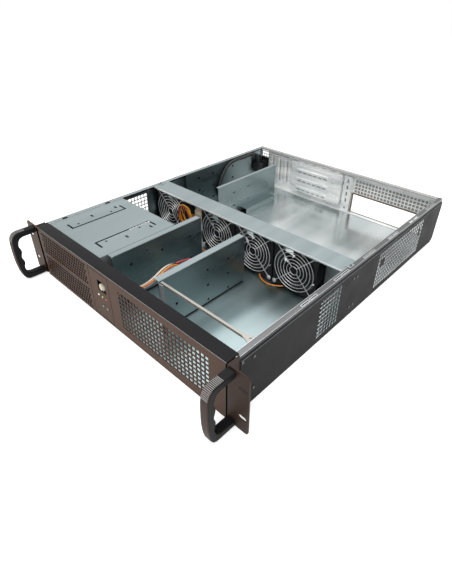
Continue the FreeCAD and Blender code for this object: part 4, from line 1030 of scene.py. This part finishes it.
ring_of_blades = [fan_blade()]
for step in range(1, BLADES):
    twin = duplicate(ring_of_blades[0])
    twin.rotation_euler = Euler((0, math.radians(360 / BLADES * step), 0))
    freeze()
    ring_of_blades.append(twin)
blades = join_all(ring_of_blades, "blades")
blades.location = at(first_x, 252.2, FAN_HEIGHT)
hub = disc(first_x, FAN_HEIGHT, 243.6, 260.2, 17.0, 1.6)
first_rotor = settle(join_all([hub, blades], "fan_blades_1"), "fan_blades_1")
paint(first_rotor, fan_plastic)
print("rotor", len(first_rotor.data.polygons), "faces")

# %% [markdown]
# The guard is bright plated wire: rings welded on four straight wires, which start at the inner
# ring and end in eyes at the fan's screws. Each ring is a torus, which is what a closed ring of
# round wire is.

# %% Wire guard
RING_RADII = (7.0, 12.8, 18.6, 24.4, 30.2, 36.0)
RING_DEPTH, CROSS_DEPTH = 237.7, 239.1
RING_GAUGE, CROSS_GAUGE = 0.54, 0.62


def wire_ring(radius, depth, x, z, gauge=RING_GAUGE, turns=64):
    let_go()
    bpy.ops.mesh.primitive_torus_add(
        major_radius=radius * MM,
        minor_radius=gauge * MM,
        major_segments=turns,
        minor_segments=6,
        location=at(x, depth, z),
        rotation=(math.radians(90), 0, 0),
    )
    return bpy.context.object


def straight_wire(start, end):
    """A straight piece of round wire between two points."""
    let_go()
    run = end - start
    middle = (start + end) / 2
    bpy.ops.mesh.primitive_cylinder_add(
        vertices=8, radius=CROSS_GAUGE * MM, depth=run.length, location=middle
    )
    wire = bpy.context.object
    wire.rotation_euler = run.to_track_quat("Z", "Y").to_euler()
    return wire


guard_parts = [wire_ring(radius, RING_DEPTH, first_x, FAN_HEIGHT) for radius in RING_RADII]
for lean in (-1, 1):
    for way in (-1, 1):
        start = at(first_x + 5 * way, CROSS_DEPTH, FAN_HEIGHT + 5 * way * lean)
        end = at(first_x + 33.6 * way, CROSS_DEPTH, FAN_HEIGHT + 33.6 * way * lean)
        guard_parts.append(straight_wire(start, end))
for x, z in fan_corners:
    guard_parts.append(wire_ring(3.0, CROSS_DEPTH, x, z, 0.8, 20))
    guard_parts.append(disc(x, z, 238.0, 240.4, 2.3, 0.5, 14))
first_guard = settle(join_all(guard_parts, "fan_grille_1"), "fan_grille_1")
paint(first_guard, chrome_wire)
print("guard", len(first_guard.data.polygons), "faces")

# %% [markdown]
# The four fans are the same product, so the other three are copies moved sideways. Each copy keeps
# a mesh of its own, because every rotor belongs to a body of its own.

# %% The other three fans
for number, centre_x in enumerate(FAN_CENTRES, start=1):
    trio = []
    for model, name in ((first_frame, "fan_case"), (first_rotor, "fan_blades"), (first_guard, "fan_grille")):
        if number > 1:
            model = duplicate(model)
            model.location.x += (centre_x - first_x) * MM
            freeze()
            model.name = f"{name}_{number}"
            model.data.name = model.name
        trio.append(model)
    hand_over(trio[0], "case", [f"fan_frame_{number}"])
    hand_over(trio[1], f"rotor_{number}", [f"fan_rotor_{number}"])
    hand_over(trio[2], "case", [f"fan_guard_{number}"])

# %% [markdown]
# ## Handles
# Each handle is one bow cut from thick plate with its edges rounded over. Three hollows inside the
# bow take the fingers, and fine ribs across the top corner give the palm a grip. A round bar swept
# along a curve would lack the flat sides, so the bow's side view is drawn and given its thickness
# instead.

# %% Handles
HOLLOW_DEPTH = 1.2
DEGREES_PER_MM = 18


def bow_outline():
    """The bow's side view: depth in front of the bezel, and height."""
    outer = [(0, 86), (-27, 86), (-33, 84.6), (-37, 81), (-39.4, 76), (-40.6, 68), (-41, 56), (-41, 42)]
    outer += [(-40.4, 30), (-38.8, 18), (-36.6, 9), (-33.6, 4), (-29, 1.4), (-24, 1), (0, 1)]
    inner = [(0, 10), (-22, 10.4), (-27, 12.4), (-29.6, 16)]
    for step in range(25):
        height = 18.5 + 2 * step
        wave = math.cos(math.radians(DEGREES_PER_MM * (height - 23.5)))
        inner.append((-30.3 - HOLLOW_DEPTH * wave, height))
    inner += [(-29.6, 71), (-27, 74.6), (-22, 76.4), (0, 77)]
    return outer + inner


RIB_PLACES = [(-17.5 - 1.9 * step, 86.0) for step in range(6)]
RIB_PLACES += [(-28.9, 85.6), (-30.7, 85.2), (-32.5, 84.7), (-34.1, 83.7), (-35.5, 82.4), (-36.9, 81.1)]
RIB_PLACES += [(-37.8, 79.4), (-38.6, 77.7), (-39.4, 76.0), (-39.7, 74.1)]


def bow(side):
    near = mirrored(211.4, 223.4, side)[0]
    handle = sheet("bow", "side", near, 12.0, bow_outline())
    bpy.ops.object.mode_set(mode="EDIT")
    bpy.ops.mesh.select_all(action="SELECT")
    bpy.ops.mesh.dissolve_limited(angle_limit=math.radians(1))
    bpy.ops.object.mode_set(mode="OBJECT")
    change(handle, "BEVEL", width=1.7 * MM, segments=3, limit_method="ANGLE", angle_limit=math.radians(60))
    ribs = []
    for depth, height in RIB_PLACES:
        low = (near + 1.2, depth - 0.5, height - 0.5)
        high = (near + 10.8, depth + 0.5, height + 0.5)
        ribs.append(bar(low, high, 0.2, 1))
    # Faces that look forwards take the dark bronze, a painted warm reflection on the black paint, and the
    # ribs take light grey as a painted highlight.
    paint(handle, black_paint, dark_bronze_reflection, highlight_and_button_grey, pick=lambda face: int(face.normal.y < -0.35))
    for rib in ribs:
        paint(rib, black_paint, dark_bronze_reflection, highlight_and_button_grey, pick=2)
    return join_all([handle, *ribs], "bow")


for name, side in (("right", 1), ("left", -1)):
    handle = settle(bow(side), f"bow_handle_{name}")
    hand_over(handle, "case", [f"handle_{name}"])

# %% [markdown]
# ## Screws
# The case is held together by small pan-head screws. One is modelled, a short cylinder with a
# rounded rim and a thin black cross on its face, painted shade for a cross recess, and copied
# wherever the photograph shows a head. A small square dimple pressed into each wall is there too.
# Separate primitives would do for the heads, but copies of one model stay alike.


# %% One screw and its copies
SCREW_RADIUS = 1.9


def screw_head():
    """A pan head whose flat side lies on the plane y = 0 and whose cross looks forwards."""
    head = cylinder(16, SCREW_RADIUS * MM, 1.0 * MM, (0, -0.5 * MM, 0))
    change(head, "BEVEL", width=0.5 * MM, segments=2, limit_method="ANGLE")
    paint(head, shaded_zinc, black_paint, pick=0)
    # The cross is two thin black boxes on the head's face, painted shade for a cross recess.
    cross = []
    for wide, high in ((0.7 * SCREW_RADIUS, 0.28), (0.28, 0.7 * SCREW_RADIUS)):
        let_go()
        bpy.ops.mesh.primitive_cube_add(size=1, location=(0, -1.0 * MM, 0))
        arm = bpy.context.object
        arm.scale = (2 * wide * MM, 0.12 * MM, 2 * high * MM)
        freeze()
        paint(arm, shaded_zinc, black_paint, pick=1)
        cross.append(arm)
    return join_all([head, *cross], "screw_head")


def screws(name, spots):
    """Copies of one screw; each spot is a point, and the way its head looks."""
    turns = {"front": (0, 0, 0), "right": (0, 0, 90), "left": (0, 0, -90), "up": (-90, 0, 0)}
    model = screw_head()
    copies = []
    for place, way in spots:
        twin = duplicate(model)
        twin.location = at(*place)
        twin.rotation_euler = Euler([math.radians(angle) for angle in turns[way]])
        copies.append(twin)
    bpy.data.objects.remove(model)
    hand_over(settle(join_all(copies, name), name), "case")


for side, name in ((-1, "wall_dimple_left"), (1, "wall_dimple_right")):
    inner, outer = mirrored(213.95, 214.12, side)
    dimple = settle(bar((inner, 46.4, 49.0), (outer, 50.0, 52.6), 0.05, 1), name)
    paint(dimple, black_paint)
    hand_over(dimple, "case")
spots = []
for depth, z in WALL_SCREWS:
    spots += [((214.0, depth, z), "right"), ((-214.0, depth, z), "left")]
spots += [((206.4, 248.6, 87.3), "up"), ((-206.4, 248.6, 87.3), "up")]
spots += [((-45.9, depth, z), "right") for depth, z in ((92, 74), (150, 40), (150, 12))]
spots += [((FIRST_UPRIGHT + SLOT_PITCH * step, 557.0, 81.6), "front") for step in range(3)]
screws("case_screws", spots)

# %% [markdown]
# ## Drive cage
# The cage is an inverted channel. Its top has two U-shaped cuts, which free a tongue each, and
# obround marks where a drive is screwed on. The cuts are drawn into the flat blank. A Boolean
# could make them too, but a cut that is in the blank from the start needs no clean-up.


# %% Drive cage
CUT_START, CUT_END, CUT_HALF = 39.0, 137.0, 1.5


def hook_cut(edge, turned):
    """A long cut with both ends turned the same way, as a loose blank for a sheet's rows."""
    way = 1 if turned > edge else -1
    inner, outer = edge + CUT_HALF * way, edge - CUT_HALF * way
    begin_blank()
    draw_path(
        [
            (outer, CUT_START - CUT_HALF),
            (turned, CUT_START - CUT_HALF),
            (turned, CUT_START + CUT_HALF),
            (inner, CUT_START + CUT_HALF),
            (inner, CUT_END - CUT_HALF),
            (turned, CUT_END - CUT_HALF),
            (turned, CUT_END + CUT_HALF),
            (outer, CUT_END + CUT_HALF),
        ]
    )
    bpy.ops.object.mode_set(mode="OBJECT")
    return bpy.context.object


CAGE_LEFT, CAGE_RIGHT, CAGE_FRONT, CAGE_BACK = -203, -58.2, 21, 158
drive_marks = []
for x in (-180.3, -81.4):
    for depth in (83, 128.3):
        drive_marks.append((x - 3.8, depth - 1.7, x + 3.8, depth + 1.7, 1.6))
cage_top = sheet(
    "cage_top",
    "floor",
    LID_LEVEL,
    GAUGE,
    corners(CAGE_LEFT, CAGE_FRONT, CAGE_RIGHT, CAGE_BACK),
    windows=drive_marks,
    holes=[(x, depth, 1.9, 12) for x in (-171.2, -91.7) for depth in (53, 114)],
    rows=[hook_cut(-163.5, -181.0), hook_cut(-98.5, -80.0)],
)
cage_sides = [
    bar((CAGE_LEFT, CAGE_FRONT, FLOOR_LEVEL), (-201.8, CAGE_BACK, 85.9), 0.2, 1),
    bar((-59.4, CAGE_FRONT, FLOOR_LEVEL), (CAGE_RIGHT, CAGE_BACK, 85.9), 0.2, 1),
    bar((-202.6, CAGE_FRONT, FLOOR_LEVEL), (-193, CAGE_BACK, FOOT_TOP), 0.2, 1),
    bar((-68.2, CAGE_FRONT, FLOOR_LEVEL), (-58.6, CAGE_BACK, FOOT_TOP), 0.2, 1),
]


def cage_shade(face):
    """Zinc on top, softer zinc on the sides, and near-black painted shade on the walls of the cuts."""
    x, depth, z = measured(face.center)
    inside = CAGE_LEFT + 0.5 < x < CAGE_RIGHT - 0.6 and CAGE_FRONT + 0.5 < depth < CAGE_BACK - 0.5
    if abs(face.normal.z) < 0.3 and z > 85 and inside:
        return 2
    return 0 if face.normal.z > 0.5 and z > 80 else 1


cage = join_all([cage_top, *cage_sides], "cage_slotted")
paint(cage, zinc, soft_zinc, shadow_black, pick=cage_shade)
hand_over(cage, "case", ["drive_cage"])

# %% [markdown]
# ## Partitions
# Each partition is a web with its top and its foot folded to the left. The middle one also has a
# narrow fold at its front end, rounded at the top, where the cross brace starts. Screw holes are
# drawn into the webs, with a black disc behind each as painted shade that keeps it dark, and a thin
# dark strip along the foot is painted shadow in its fold. The folds could be extruded from the
# web's edges. They are bars of their own here, because each takes its own bevel and finish.


# %% Partitions
def hole_shade_disc(x, depth, z):
    """A black disc behind a screw hole, painted shade that keeps the hole dark."""
    shade_disc = cylinder(14, 3.2 * MM, 1.6 * MM, at(x, depth, z), (0, 90, 0))
    paint(shade_disc, black_paint)
    return shade_disc


def web_with_folds(name, right, front, rear, top, fold, holes):
    """An upright sheet; its cap and foot reach fold millimetres to the left of its right face."""
    outline = [(front, 1.3), (rear, 1.3), (rear, top - 1.5), (rear - 1.5, top)]
    outline += [(front + 1.5, top), (front, top - 1.5)]
    punched = [(depth, z, 2.3, 14) for depth, z in holes]
    web = sheet("web", "side", right - GAUGE, GAUGE, outline, holes=punched)
    cap = bar((right - fold, front + 1, top - GAUGE), (right, rear - 1, top), 0.3, 2)
    foot = bar((right - fold, front + 1, FLOOR_LEVEL), (right - 0.6, rear - 1, FOOT_TOP), 0.2, 1)
    paint(web, zinc_web, zinc, pick=0)
    paint(cap, zinc_web, zinc, pick=lambda face: int(face.normal.z > 0.3))
    paint(foot, zinc_web, zinc, pick=0)
    # A thin dark strip along the foot, painted shadow in its fold.
    foot_shadow = bar((right - 0.4, front + 3, FLOOR_LEVEL), (right + 0.2, rear - 3, 4.0), 0, 1)
    paint(foot_shadow, black_paint)
    shade_discs = [hole_shade_disc(right - 1.9, depth, z) for depth, z in holes]
    return join_all([web, cap, foot, foot_shadow, *shade_discs], name)


cage_side_holes = [(depth, z) for depth in (62, 120, 178) for z in (62, 20)]
cage_side = web_with_folds("cage_side_web", -46, 32, 204, 86.5, 11.6, cage_side_holes)
hand_over(cage_side, "case", ["cage_partition"])
centre_holes = [(69, 35)] + [(depth, z) for depth in (130, 173) for z in (8.7, 35.3, 62)]
centre_web = web_with_folds("centre_web", 46.2, 42, 210, 86, 12, centre_holes)
fold_slits = [(left, 34, left + 0.7, 76, 0.2) for left in (47.4, 52.2)]
end_fold = sheet("end_fold", "front", 42.0, GAUGE, ((45.4, 1.4), (55, 83.6)), windows=fold_slits, edge=2.5)
paint(end_fold, soft_zinc)
centre_web = join_all([centre_web, end_fold], "centre_web")
hand_over(centre_web, "case", ["centre_partition"])

# %% [markdown]
# The cross brace is a narrow strip with its front edge folded down. It widens where it is screwed
# to the right wall. A bar with a wider end set on it would show a seam, so the outline is drawn as
# one path.

# %% Cross brace
brace_outline = [(46.8, 44.0), (190, 44.0), (205, 38.9), (210.6, 38.9)]
brace_outline += [(210.6, 53.2), (205, 53.2), (190, 47.6), (46.8, 47.6)]
brace_top = sheet("brace_top", "floor", 83.9, 1.1, brace_outline, holes=[(201.5, 46.1, 1.8, 14)])
brace_lip = bar((46.8, 44.0, 81.2), (192, 45.0, 84.4), 0.2, 1)
brace = join_all([brace_top, brace_lip], "brace_strip")
paint(brace, brace_plate)
hand_over(brace, "case", ["cross_brace"])

# %% [markdown]
# ## Fan wall
# One plate carries the four fans, with a rounded gap for the cables. Its top is folded forwards
# into a broad beam that covers the fans, and the beam's front is folded down into a narrow lip. A
# thin bright strip along the lip's top is a painted highlight. At each end a tab lies on the rail
# and is screwed to it. One sheet could be bent into all of this. Separate blocks joined into one
# piece are simpler, and their seams lie where the folds are.

# %% Fan wall
BEAM_FRONT = 231
fan_wall_parts = [
    sheet(
        "fan_plate",
        "front",
        FAN_BACK,
        GAUGE,
        STEPPED_OUTLINE,
        windows=[(-118, 12, -90, 72, 5)],
        holes=[(centre, FAN_HEIGHT, 38.5, 56) for centre in FAN_CENTRES],
    ),
    bar((-RAIL_INSIDE, BEAM_FRONT, LID_LEVEL), (RAIL_INSIDE, 266.2, 86.5), 0.3, 2),
    bar((-203.8, BEAM_FRONT, 82.5), (203.8, BEAM_FRONT + GAUGE, 86.2), 0.2, 1),
    # A thin strip along the lip's top, painted bright as a highlight.
    bar((-203.8, BEAM_FRONT - 0.4, 83.9), (203.8, BEAM_FRONT + 0.6, 86.3), 0.25, 1),
    bar((-RAIL_INSIDE, 265.2, FLOOR_LEVEL), (RAIL_INSIDE, 278.2, FOOT_TOP), 0.2, 1),
    bar((200, 242.6, 86.4), (209.8, 254.6, 87.3), 0.4, 2),
    bar((-209.8, 242.6, 86.4), (-200, 254.6, 87.3), 0.4, 2),
]


def fan_wall_shade(face):
    """Zinc on top, softer zinc below, and a painted highlight in bright plating along the beam's front."""
    x, depth, z = measured(face.center)
    if depth < BEAM_FRONT - 0.1 and 83.5 < z < 86.6:
        return 1
    return 2 if z < 84 else 0


fan_carrier = join_all(fan_wall_parts, "fan_carrier")
paint(fan_carrier, zinc, bright_plate, soft_zinc, pick=fan_wall_shade)
hand_over(fan_carrier, "case", ["fan_wall"])

# %% [markdown]
# ## Rear panel
# The panel is plated bright. It has a cut-out with rounded corners for the board's connectors, a
# perforated strip above it, a small perforated corner over the power inlet, three upright openings
# and one large opening for the riser. Its top is folded forwards and stiffened by beads, painted dark
# as painted shade. A dark rim round the cut-out stands for its shadowed edge, and a dark plate behind
# the strip is painted shade in its holes. Openings could be cut one after the other. Drawn into one
# blank, as a punch would make them, they all come out of a single fill.


# %% Rear panel
def shade_back(piece):
    """Paints the bright faces that look backwards, out of the case, with a darker copy of the plating, as
    painted shade.
    """
    piece.data.materials.append(back_shade_plate)
    for face in piece.data.polygons:
        if face.material_index == 0 and face.normal.y > 0.7:
            face.material_index = len(piece.data.materials) - 1


BOARD_CUT = (40, 2.9, 198.75, 42.6, 13)
panel_rows = [
    square_rows(41.0, 46.6, 4.9, (7.2, 7.2), (22, 4)),
    square_rows(-208.4, 65.4, 4.6, (6.2, 6.2), (3, 3)),
]
panel_windows = [BOARD_CUT]
for step in range(3):
    middle = FIRST_UPRIGHT + SLOT_PITCH * step
    panel_windows.append((middle - 6.5, 14, middle + 6.5, 71, 1))
panel_windows += [(-107, 18, 9, 74, 1), (-208.6, 32.4, -191.4, 57.6, 1.5)]
panel_windows += [(-104 + 23 * step, 80.4, -89 + 23 * step, 83.4, 0.6) for step in range(5)]
panel_sheet = sheet(
    "panel_sheet", "front", 558.8, GAUGE, STEPPED_OUTLINE, windows=panel_windows, rows=panel_rows
)
panel_band = sheet("panel_band", "floor", LID_LEVEL, GAUGE, corners(-204.1, 548, 204.1, CASE_DEPTH))
panel_foot = bar((-WALL_INSIDE, 548, FLOOR_LEVEL), (WALL_INSIDE, CASE_DEPTH, FOOT_TOP), 0.2, 1)
# The beads take the darker plating, painted shade.
beads = [bar((-203.6, depth, 86.2), (203.6, depth + 0.9, 86.85), 0.25, 1) for depth in (548.1, 551.6, 555.4)]
band_lip = bar((-203.6, 548, 83.6), (203.6, 548.9, 86.0), 0.2, 1)
# A dark plate behind the perforated strip, painted shade in its holes.
strip_shade_backing = bar((40.2, 559.3, 45.8), (198.4, 559.9, 74.2), 0, 1)
cut_rim = sheet("cut_rim", "front", 556.4, 2.5, ((37.7, 1.4), (201.0, 44.9)), windows=[BOARD_CUT], edge=14)
shades = [(panel_sheet, 0), (panel_band, 2), (panel_foot, 0)] + [(bead, 1) for bead in beads]
shades += [(band_lip, 0), (strip_shade_backing, 1), (cut_rim, 3)]
for piece, shade in shades:
    paint(piece, bright_plate, shade_plate, bright_zinc_and_highlight, rim_shade, pick=shade)
rear_sheet = join_all([piece for piece, shade in shades], "rear_sheet")
shade_back(rear_sheet)
hand_over(rear_sheet, "case", ["rear_panel"])

# %% [markdown]
# Each slot cover is a thin strip with a pressed rib and a folded tab. A thin dark line beside the
# upright ones' rib, and a row of short dark dashes under the lying ones' rib, are painted shade. The
# upright ones are screwed to the panel, and the lying ones to the riser frame, which stands off the
# panel. Covers of one kind differ only in their place, so one function makes each kind.


# %% Slot covers
def upright_cover(middle):
    plate = sheet("plate", "front", 557.9, 0.9, ((middle - 9.2, 8), (middle + 9.2, 79)), edge=1.2)
    rib = sheet("rib", "front", 555.7, 2.2, ((middle - 6.2, 16), (middle - 0.6, 71)), edge=2.6)
    # A thin dark line beside the rib, painted shade.
    second = sheet("rib", "front", 557.5, 0.6, ((middle + 2.8, 18), (middle + 4.4, 69)), edge=0.7)
    tab = bar((middle - 9.2, 549.8, 78.1), (middle + 9.2, 558.8, 79.0), 0.3, 1)
    for piece in (plate, rib, second, tab):
        paint(piece, bright_plate, bright_zinc_and_highlight, shade_plate, pick=2 if piece is second else 0)
    return join_all([plate, rib, second, tab], "upright")


def lying_cover(middle):
    plate = sheet("plate", "front", 545.9, 0.9, ((-105, middle - 9.0), (9, middle + 9.0)), edge=1.5)
    rib = sheet("rib", "front", 543.7, 2.2, ((-97, middle - 4.4), (-18, middle + 0.6)), edge=2.4)
    # Short dark dashes under the rib, painted shade.
    shade_dashes = []
    for left in range(-94, -24, 13):
        shade_dashes.append(bar((left, 545.5, middle - 7.4), (left + 8.6, 546.1, middle - 5.0), 0, 1))
    tab_outline = ((-10, middle - 5.6), (8.4, middle + 5.6))
    tab = sheet("tab", "front", 544.8, 1.1, tab_outline, holes=[(3, middle, 1.8, 16)], edge=4.6)
    for piece in (plate, rib, *shade_dashes, tab):
        paint(piece, shade_plate if piece in shade_dashes else bright_plate)
    return join_all([plate, rib, *shade_dashes, tab], "lying")


for step in range(3):
    upright = settle(upright_cover(FIRST_UPRIGHT + SLOT_PITCH * step), f"upright_strip_{step + 1}")
    shade_back(upright)
    hand_over(upright, "case", [f"upright_cover_{step + 1}"])
    lying = settle(lying_cover(24.5 + SLOT_PITCH * step), f"lying_strip_{step + 1}")
    shade_back(lying)
    hand_over(lying, "case", [f"riser_cover_{step + 1}"])

# %% [markdown]
# The riser frame is a shallow box with three windows, into which cards that lie flat are screwed.
# The strap bracket beside it is a narrow channel with four slots. Both are folded from the same
# plated sheet as the panel. A flat pattern could be bent up, but a face with a bar for each folded
# side looks the same and is less work.

# %% Riser frame and strap bracket
riser_windows = [(-101, 18.0 + SLOT_PITCH * step, -14, 31.0 + SLOT_PITCH * step, 1) for step in range(3)]
riser_parts = [
    sheet("riser_face", "front", 546.8, GAUGE, ((-113, 13), (15, 79)), windows=riser_windows, edge=1.5),
    bar((-113, 546.9, 13), (15, 558.7, 14.2), 0.3, 1),
    bar((-113, 546.9, 77.8), (15, 558.7, 79), 0.3, 1),
    bar((-113, 546.9, 13), (-111.8, 558.7, 79), 0.3, 1),
    bar((13.8, 546.9, 13), (15, 558.7, 79), 0.3, 1),
]
strap_openings = {
    "windows": [(25, 22 + 14 * step, 28, 30 + 14 * step, 1.4) for step in range(4)],
    "holes": [(26.5, 9, 2, 16)],
}
strap_parts = [
    sheet("strap_face", "front", 552.8, GAUGE, ((17, 2.5), (36, 79)), edge=4, **strap_openings),
    bar((17, 553.2, 6), (18.2, 558.7, 75.5), 0.3, 1),
    bar((34.8, 553.2, 6), (36, 558.7, 75.5), 0.3, 1),
]
folded_parts = (
    (riser_parts, "riser_box", "riser_frame"),
    (strap_parts, "strap_plate", "strap_bracket"),
)
for parts, name, node in folded_parts:
    folded = join_all(parts, name)
    paint(folded, bright_plate)
    shade_back(folded)
    hand_over(folded, "case", [node])

# %% [markdown]
# ## Power inlet
# The inlet is a black moulded socket behind its own opening in the panel, with three bright pins
# in a deep well. Inside, its housing reaches forwards to the plug. A hollow could be cut into a
# block. Here the well is a window in two thick sheets, which keeps its edges clean.

# %% Power inlet
collar_well = (-207.2, 34, -192.8, 56, 1.5)
flange_well = (-207.4, 33.8, -192.6, 56.2, 1)
flange_outline = ((-210.4, 26.6), (-189.6, 63.4))
socket = [
    bar((-209.4, 540.9, 31.6), (-190.6, 552, 58.4), 0.8, 3),
    sheet("collar", "front", 552, 6.6, ((-209.4, 31.6), (-190.6, 58.4)), windows=[collar_well], edge=0.8),
    sheet("inlet_flange", "front", 556.6, 2.0, flange_outline, windows=[flange_well], edge=2),
]
pins = []
for pin_x, pin_low in ((-200, 47.6), (-204.4, 38.6), (-195.6, 38.6)):
    pins.append(bar((pin_x - 0.7, 550, pin_low), (pin_x + 0.7, 557.2, pin_low + 4.8), 0.2, 1))
for piece in (*socket, *pins):
    paint(piece, black_paint, bright_zinc_and_highlight, pick=int(piece in pins))
inlet = settle(join_all([*socket, *pins], "inlet_socket"), "inlet_socket")
hand_over(inlet, "case", ["power_inlet"])

# %% [markdown]
# ## Fan plugs
# Three cream plugs hang one above the other in the cable gap. Each has a latch on its front and
# ribs on its side. Real ones have many small hollows, but at this size only outline, latch and
# ribs show, so they are blocks with broken edges.

# %% Fan plugs
plug_parts = []
for left, low, width, height in ((-106.6, 44, 19, 12), (-105, 56.2, 17.5, 11), (-102, 67.4, 14.5, 9)):
    right, high = left + width, low + height
    plug_parts.append(bar((left, 243, low + 0.3), (right, 265, high - 0.3), 0.6, 2))
    plug_parts.append(bar((left + 3, 242.1, low + 2), (right - 3, 244, high - 2), 0.5, 2))
    for step in range(4):
        depth = 246 + 4.4 * step
        plug_parts.append(bar((left + 0.6, depth, low + 0.8), (right - 0.6, depth + 1.6, high), 0.3, 1))
fan_plugs = settle(join_all(plug_parts, "fan_plugs"), "fan_plugs")
paint(fan_plugs, cream_plastic)
hand_over(fan_plugs, "case", ["fan_connectors"])

# %% [markdown]
# ## Power supply bay
# The bay's partition has a step for the supply's flange on its right side. On the left wall a
# plate with nine screw holes stands clear of the wall, so its holes look dark. Light could still
# fall in behind them, so a black plate behind them is painted shade that keeps them dark.

# %% Power supply bay
BAY_PLATE_FRONT, BAY_PLATE_BACK = 312, 512
bay_holes = [(374.4, 51.5), (417.8, 52.4), (374.8, 22.7), (419, 24.4)]
bay_web = web_with_folds("bay_web", -130, 329, 509, 74, 7, bay_holes)
bay_shelf = [
    bar((-131, 398, 9.8), (-115, 492, 11), 0.3, 1),
    bar((-116.2, 398, 1.3), (-115, 492, 10.8), 0.2, 1),
]
for piece in bay_shelf:
    paint(piece, zinc_web, zinc)
bay_web = join_all([bay_web, *bay_shelf], "bay_web")
hand_over(bay_web, "case", ["bay_partition"])
plate_outline = corners(BAY_PLATE_FRONT, FLOOR_LEVEL, BAY_PLATE_BACK, 85.2)
plate_holes = [(depth, z, 2.8, 14) for depth in (347, 388, 449) for z in (15.5, 42.1, 69.2)]
side_parts = [sheet("side_plate", "side", -205.6, GAUGE, plate_outline, holes=plate_holes)]
for start in (BAY_PLATE_FRONT, BAY_PLATE_BACK - GAUGE):
    side_parts.append(bar((-WALL_INSIDE, start, FLOOR_LEVEL), (-205, start + GAUGE, 78.2), 0.2, 1))
# A black plate behind the holes, painted shade.
hole_shade_backing = bar((-206.6, 314, 3), (-205.9, 510, 84), 0, 1)
side_parts.append(hole_shade_backing)
for piece in side_parts:
    paint(piece, zinc_web, black_paint, pick=int(piece is hole_shade_backing))
bay_plate = join_all(side_parts, "bay_plate")
hand_over(bay_plate, "case", ["bay_side_plate"])

# %% [markdown]
# ## Controls
# The control plate sits in its own bay in the bezel. The power button is a cream rocker with a
# large and a small lobe, in a rounded opening; it rides on its own body and moves when pressed.
# Each lobe could be a drawn outline. A cylinder pressed to an oval is smoother, and its rim is
# rounded by a bevel.

# %% Control plate
lamp_holes = [(-39.4 + 9.4 * step, 44.0, 2.1, 20) for step in range(3)]
button_holes = [(-31.5, 27.5, 2.6, 20), (-21.0, 27.5, 2.6, 20)]
control_parts = [
    sheet(
        "control_face",
        "front",
        0,
        GAUGE,
        ((-57.5, 4.5), (-10.5, 83.6)),
        windows=[(-37.4, 53.4, -18.2, 70.8, 7.6)],
        holes=lamp_holes + button_holes,
        edge=0.8,
    ),
    bar((-57.4, 6.2, 48), (-10.6, 7.0, 76), 0, 1),
    bar((-57.4, 1.2, 4.6), (-56.6, 3.8, 83.4), 0, 1),
    bar((-11.4, 1.2, 4.6), (-10.6, 3.8, 83.4), 0, 1),
]


def control_shade(face):
    """Bronze on the plate's front, a painted warm reflection on black paint; black on all else."""
    return 0 if face.normal.y < -0.5 and measured(face.center)[1] < 1 else 1


control = join_all(control_parts, "control_face")
paint(control, bronze_reflection, black_paint, pick=control_shade)
hand_over(control, "case", ["control_plate"])


def lobe(x, z, wide, high, front):
    """A rounded button cap of oval outline, from its front back into the plate."""
    back = 3.4
    cap = cylinder(32, 1, 1)
    cap.scale = (wide * MM, (back - front) * MM, high * MM)
    cap.location = at(x, (front + back) / 2, z)
    freeze()
    change(cap, "BEVEL", width=0.8 * MM, segments=3, limit_method="ANGLE")
    return cap


rocker = join_all([lobe(-28.8, 61.6, 4.2, 5.2, -1.0), lobe(-22.8, 62.0, 1.1, 3.9, -0.7)], "power_rocker")
rocker = settle(rocker, "power_rocker")
paint(rocker, cream_plastic)
hand_over(rocker, "power_button", ["power_button"])

# %% [markdown]
# ## Shade behind the perforation
# A thin black plate with softened edges lies behind the fine round perforation on the left. It is
# painted shade that keeps its holes dark. Its cells could be modelled, but they wouldn't show
# behind holes this small.

# %% Shade behind the perforation
perforation_shade_backing = settle(bar((-201.9, 4.2, 3.0), (-60.5, 7.2, 85.4), 0.6, 2), "perforation_shade_backing")
paint(perforation_shade_backing, fan_plastic)
hand_over(perforation_shade_backing, "case")

# %% [markdown]
# ## Finishes on the CAD nodes
# A folded plate whose solid already has the right shape keeps it and only takes its finish.

# %% Carry-over finishes
node_finish = [
    (dark_paint, ["chassis_tub"]),
    # The bronzes on the bezel, the control plate and the ears are painted warm reflection on black paint.
    (bronze_reflection, ["front_bezel", "control_plate", "ear_left"]),
    (dark_bronze_reflection, ["ear_right"]),
    (black_paint, ["handle_left", "handle_right", "power_inlet"]),
    (highlight_and_button_grey, ["mute_button", "reset_button"]),
    (zinc, ["drive_cage", "fan_wall"]),
    (zinc_web, ["cage_partition", "centre_partition", "bay_partition", "bay_side_plate"]),
    (brace_plate, ["cross_brace"]),
    (bright_plate, ["rear_panel", "riser_frame", "strap_bracket"]),
    (bright_plate, [f"{kind}_cover_{number}" for kind in ("upright", "riser") for number in (1, 2, 3)]),
    (fan_plastic, [f"fan_{kind}_{number}" for kind in ("frame", "rotor") for number in (1, 2, 3, 4)]),
    (chrome_wire, [f"fan_guard_{number}" for number in (1, 2, 3, 4)]),
    (lead_rubber, ["inlet_plug", "supply_plug"]),
    (cream_plastic, ["power_button", "front_connector", "fan_connectors"]),
    (green_board, ["control_board"]),
    (white_lens, ["lamp_white"]),
    (green_lens, ["lamp_green"]),
    (red_lens, ["lamp_red"]),
]
for material, nodes in node_finish:
    for node in nodes:
        paint(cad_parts[node], material)
print(sum(len(nodes) for material, nodes in node_finish), "nodes dressed")

# %% Close
let_go()
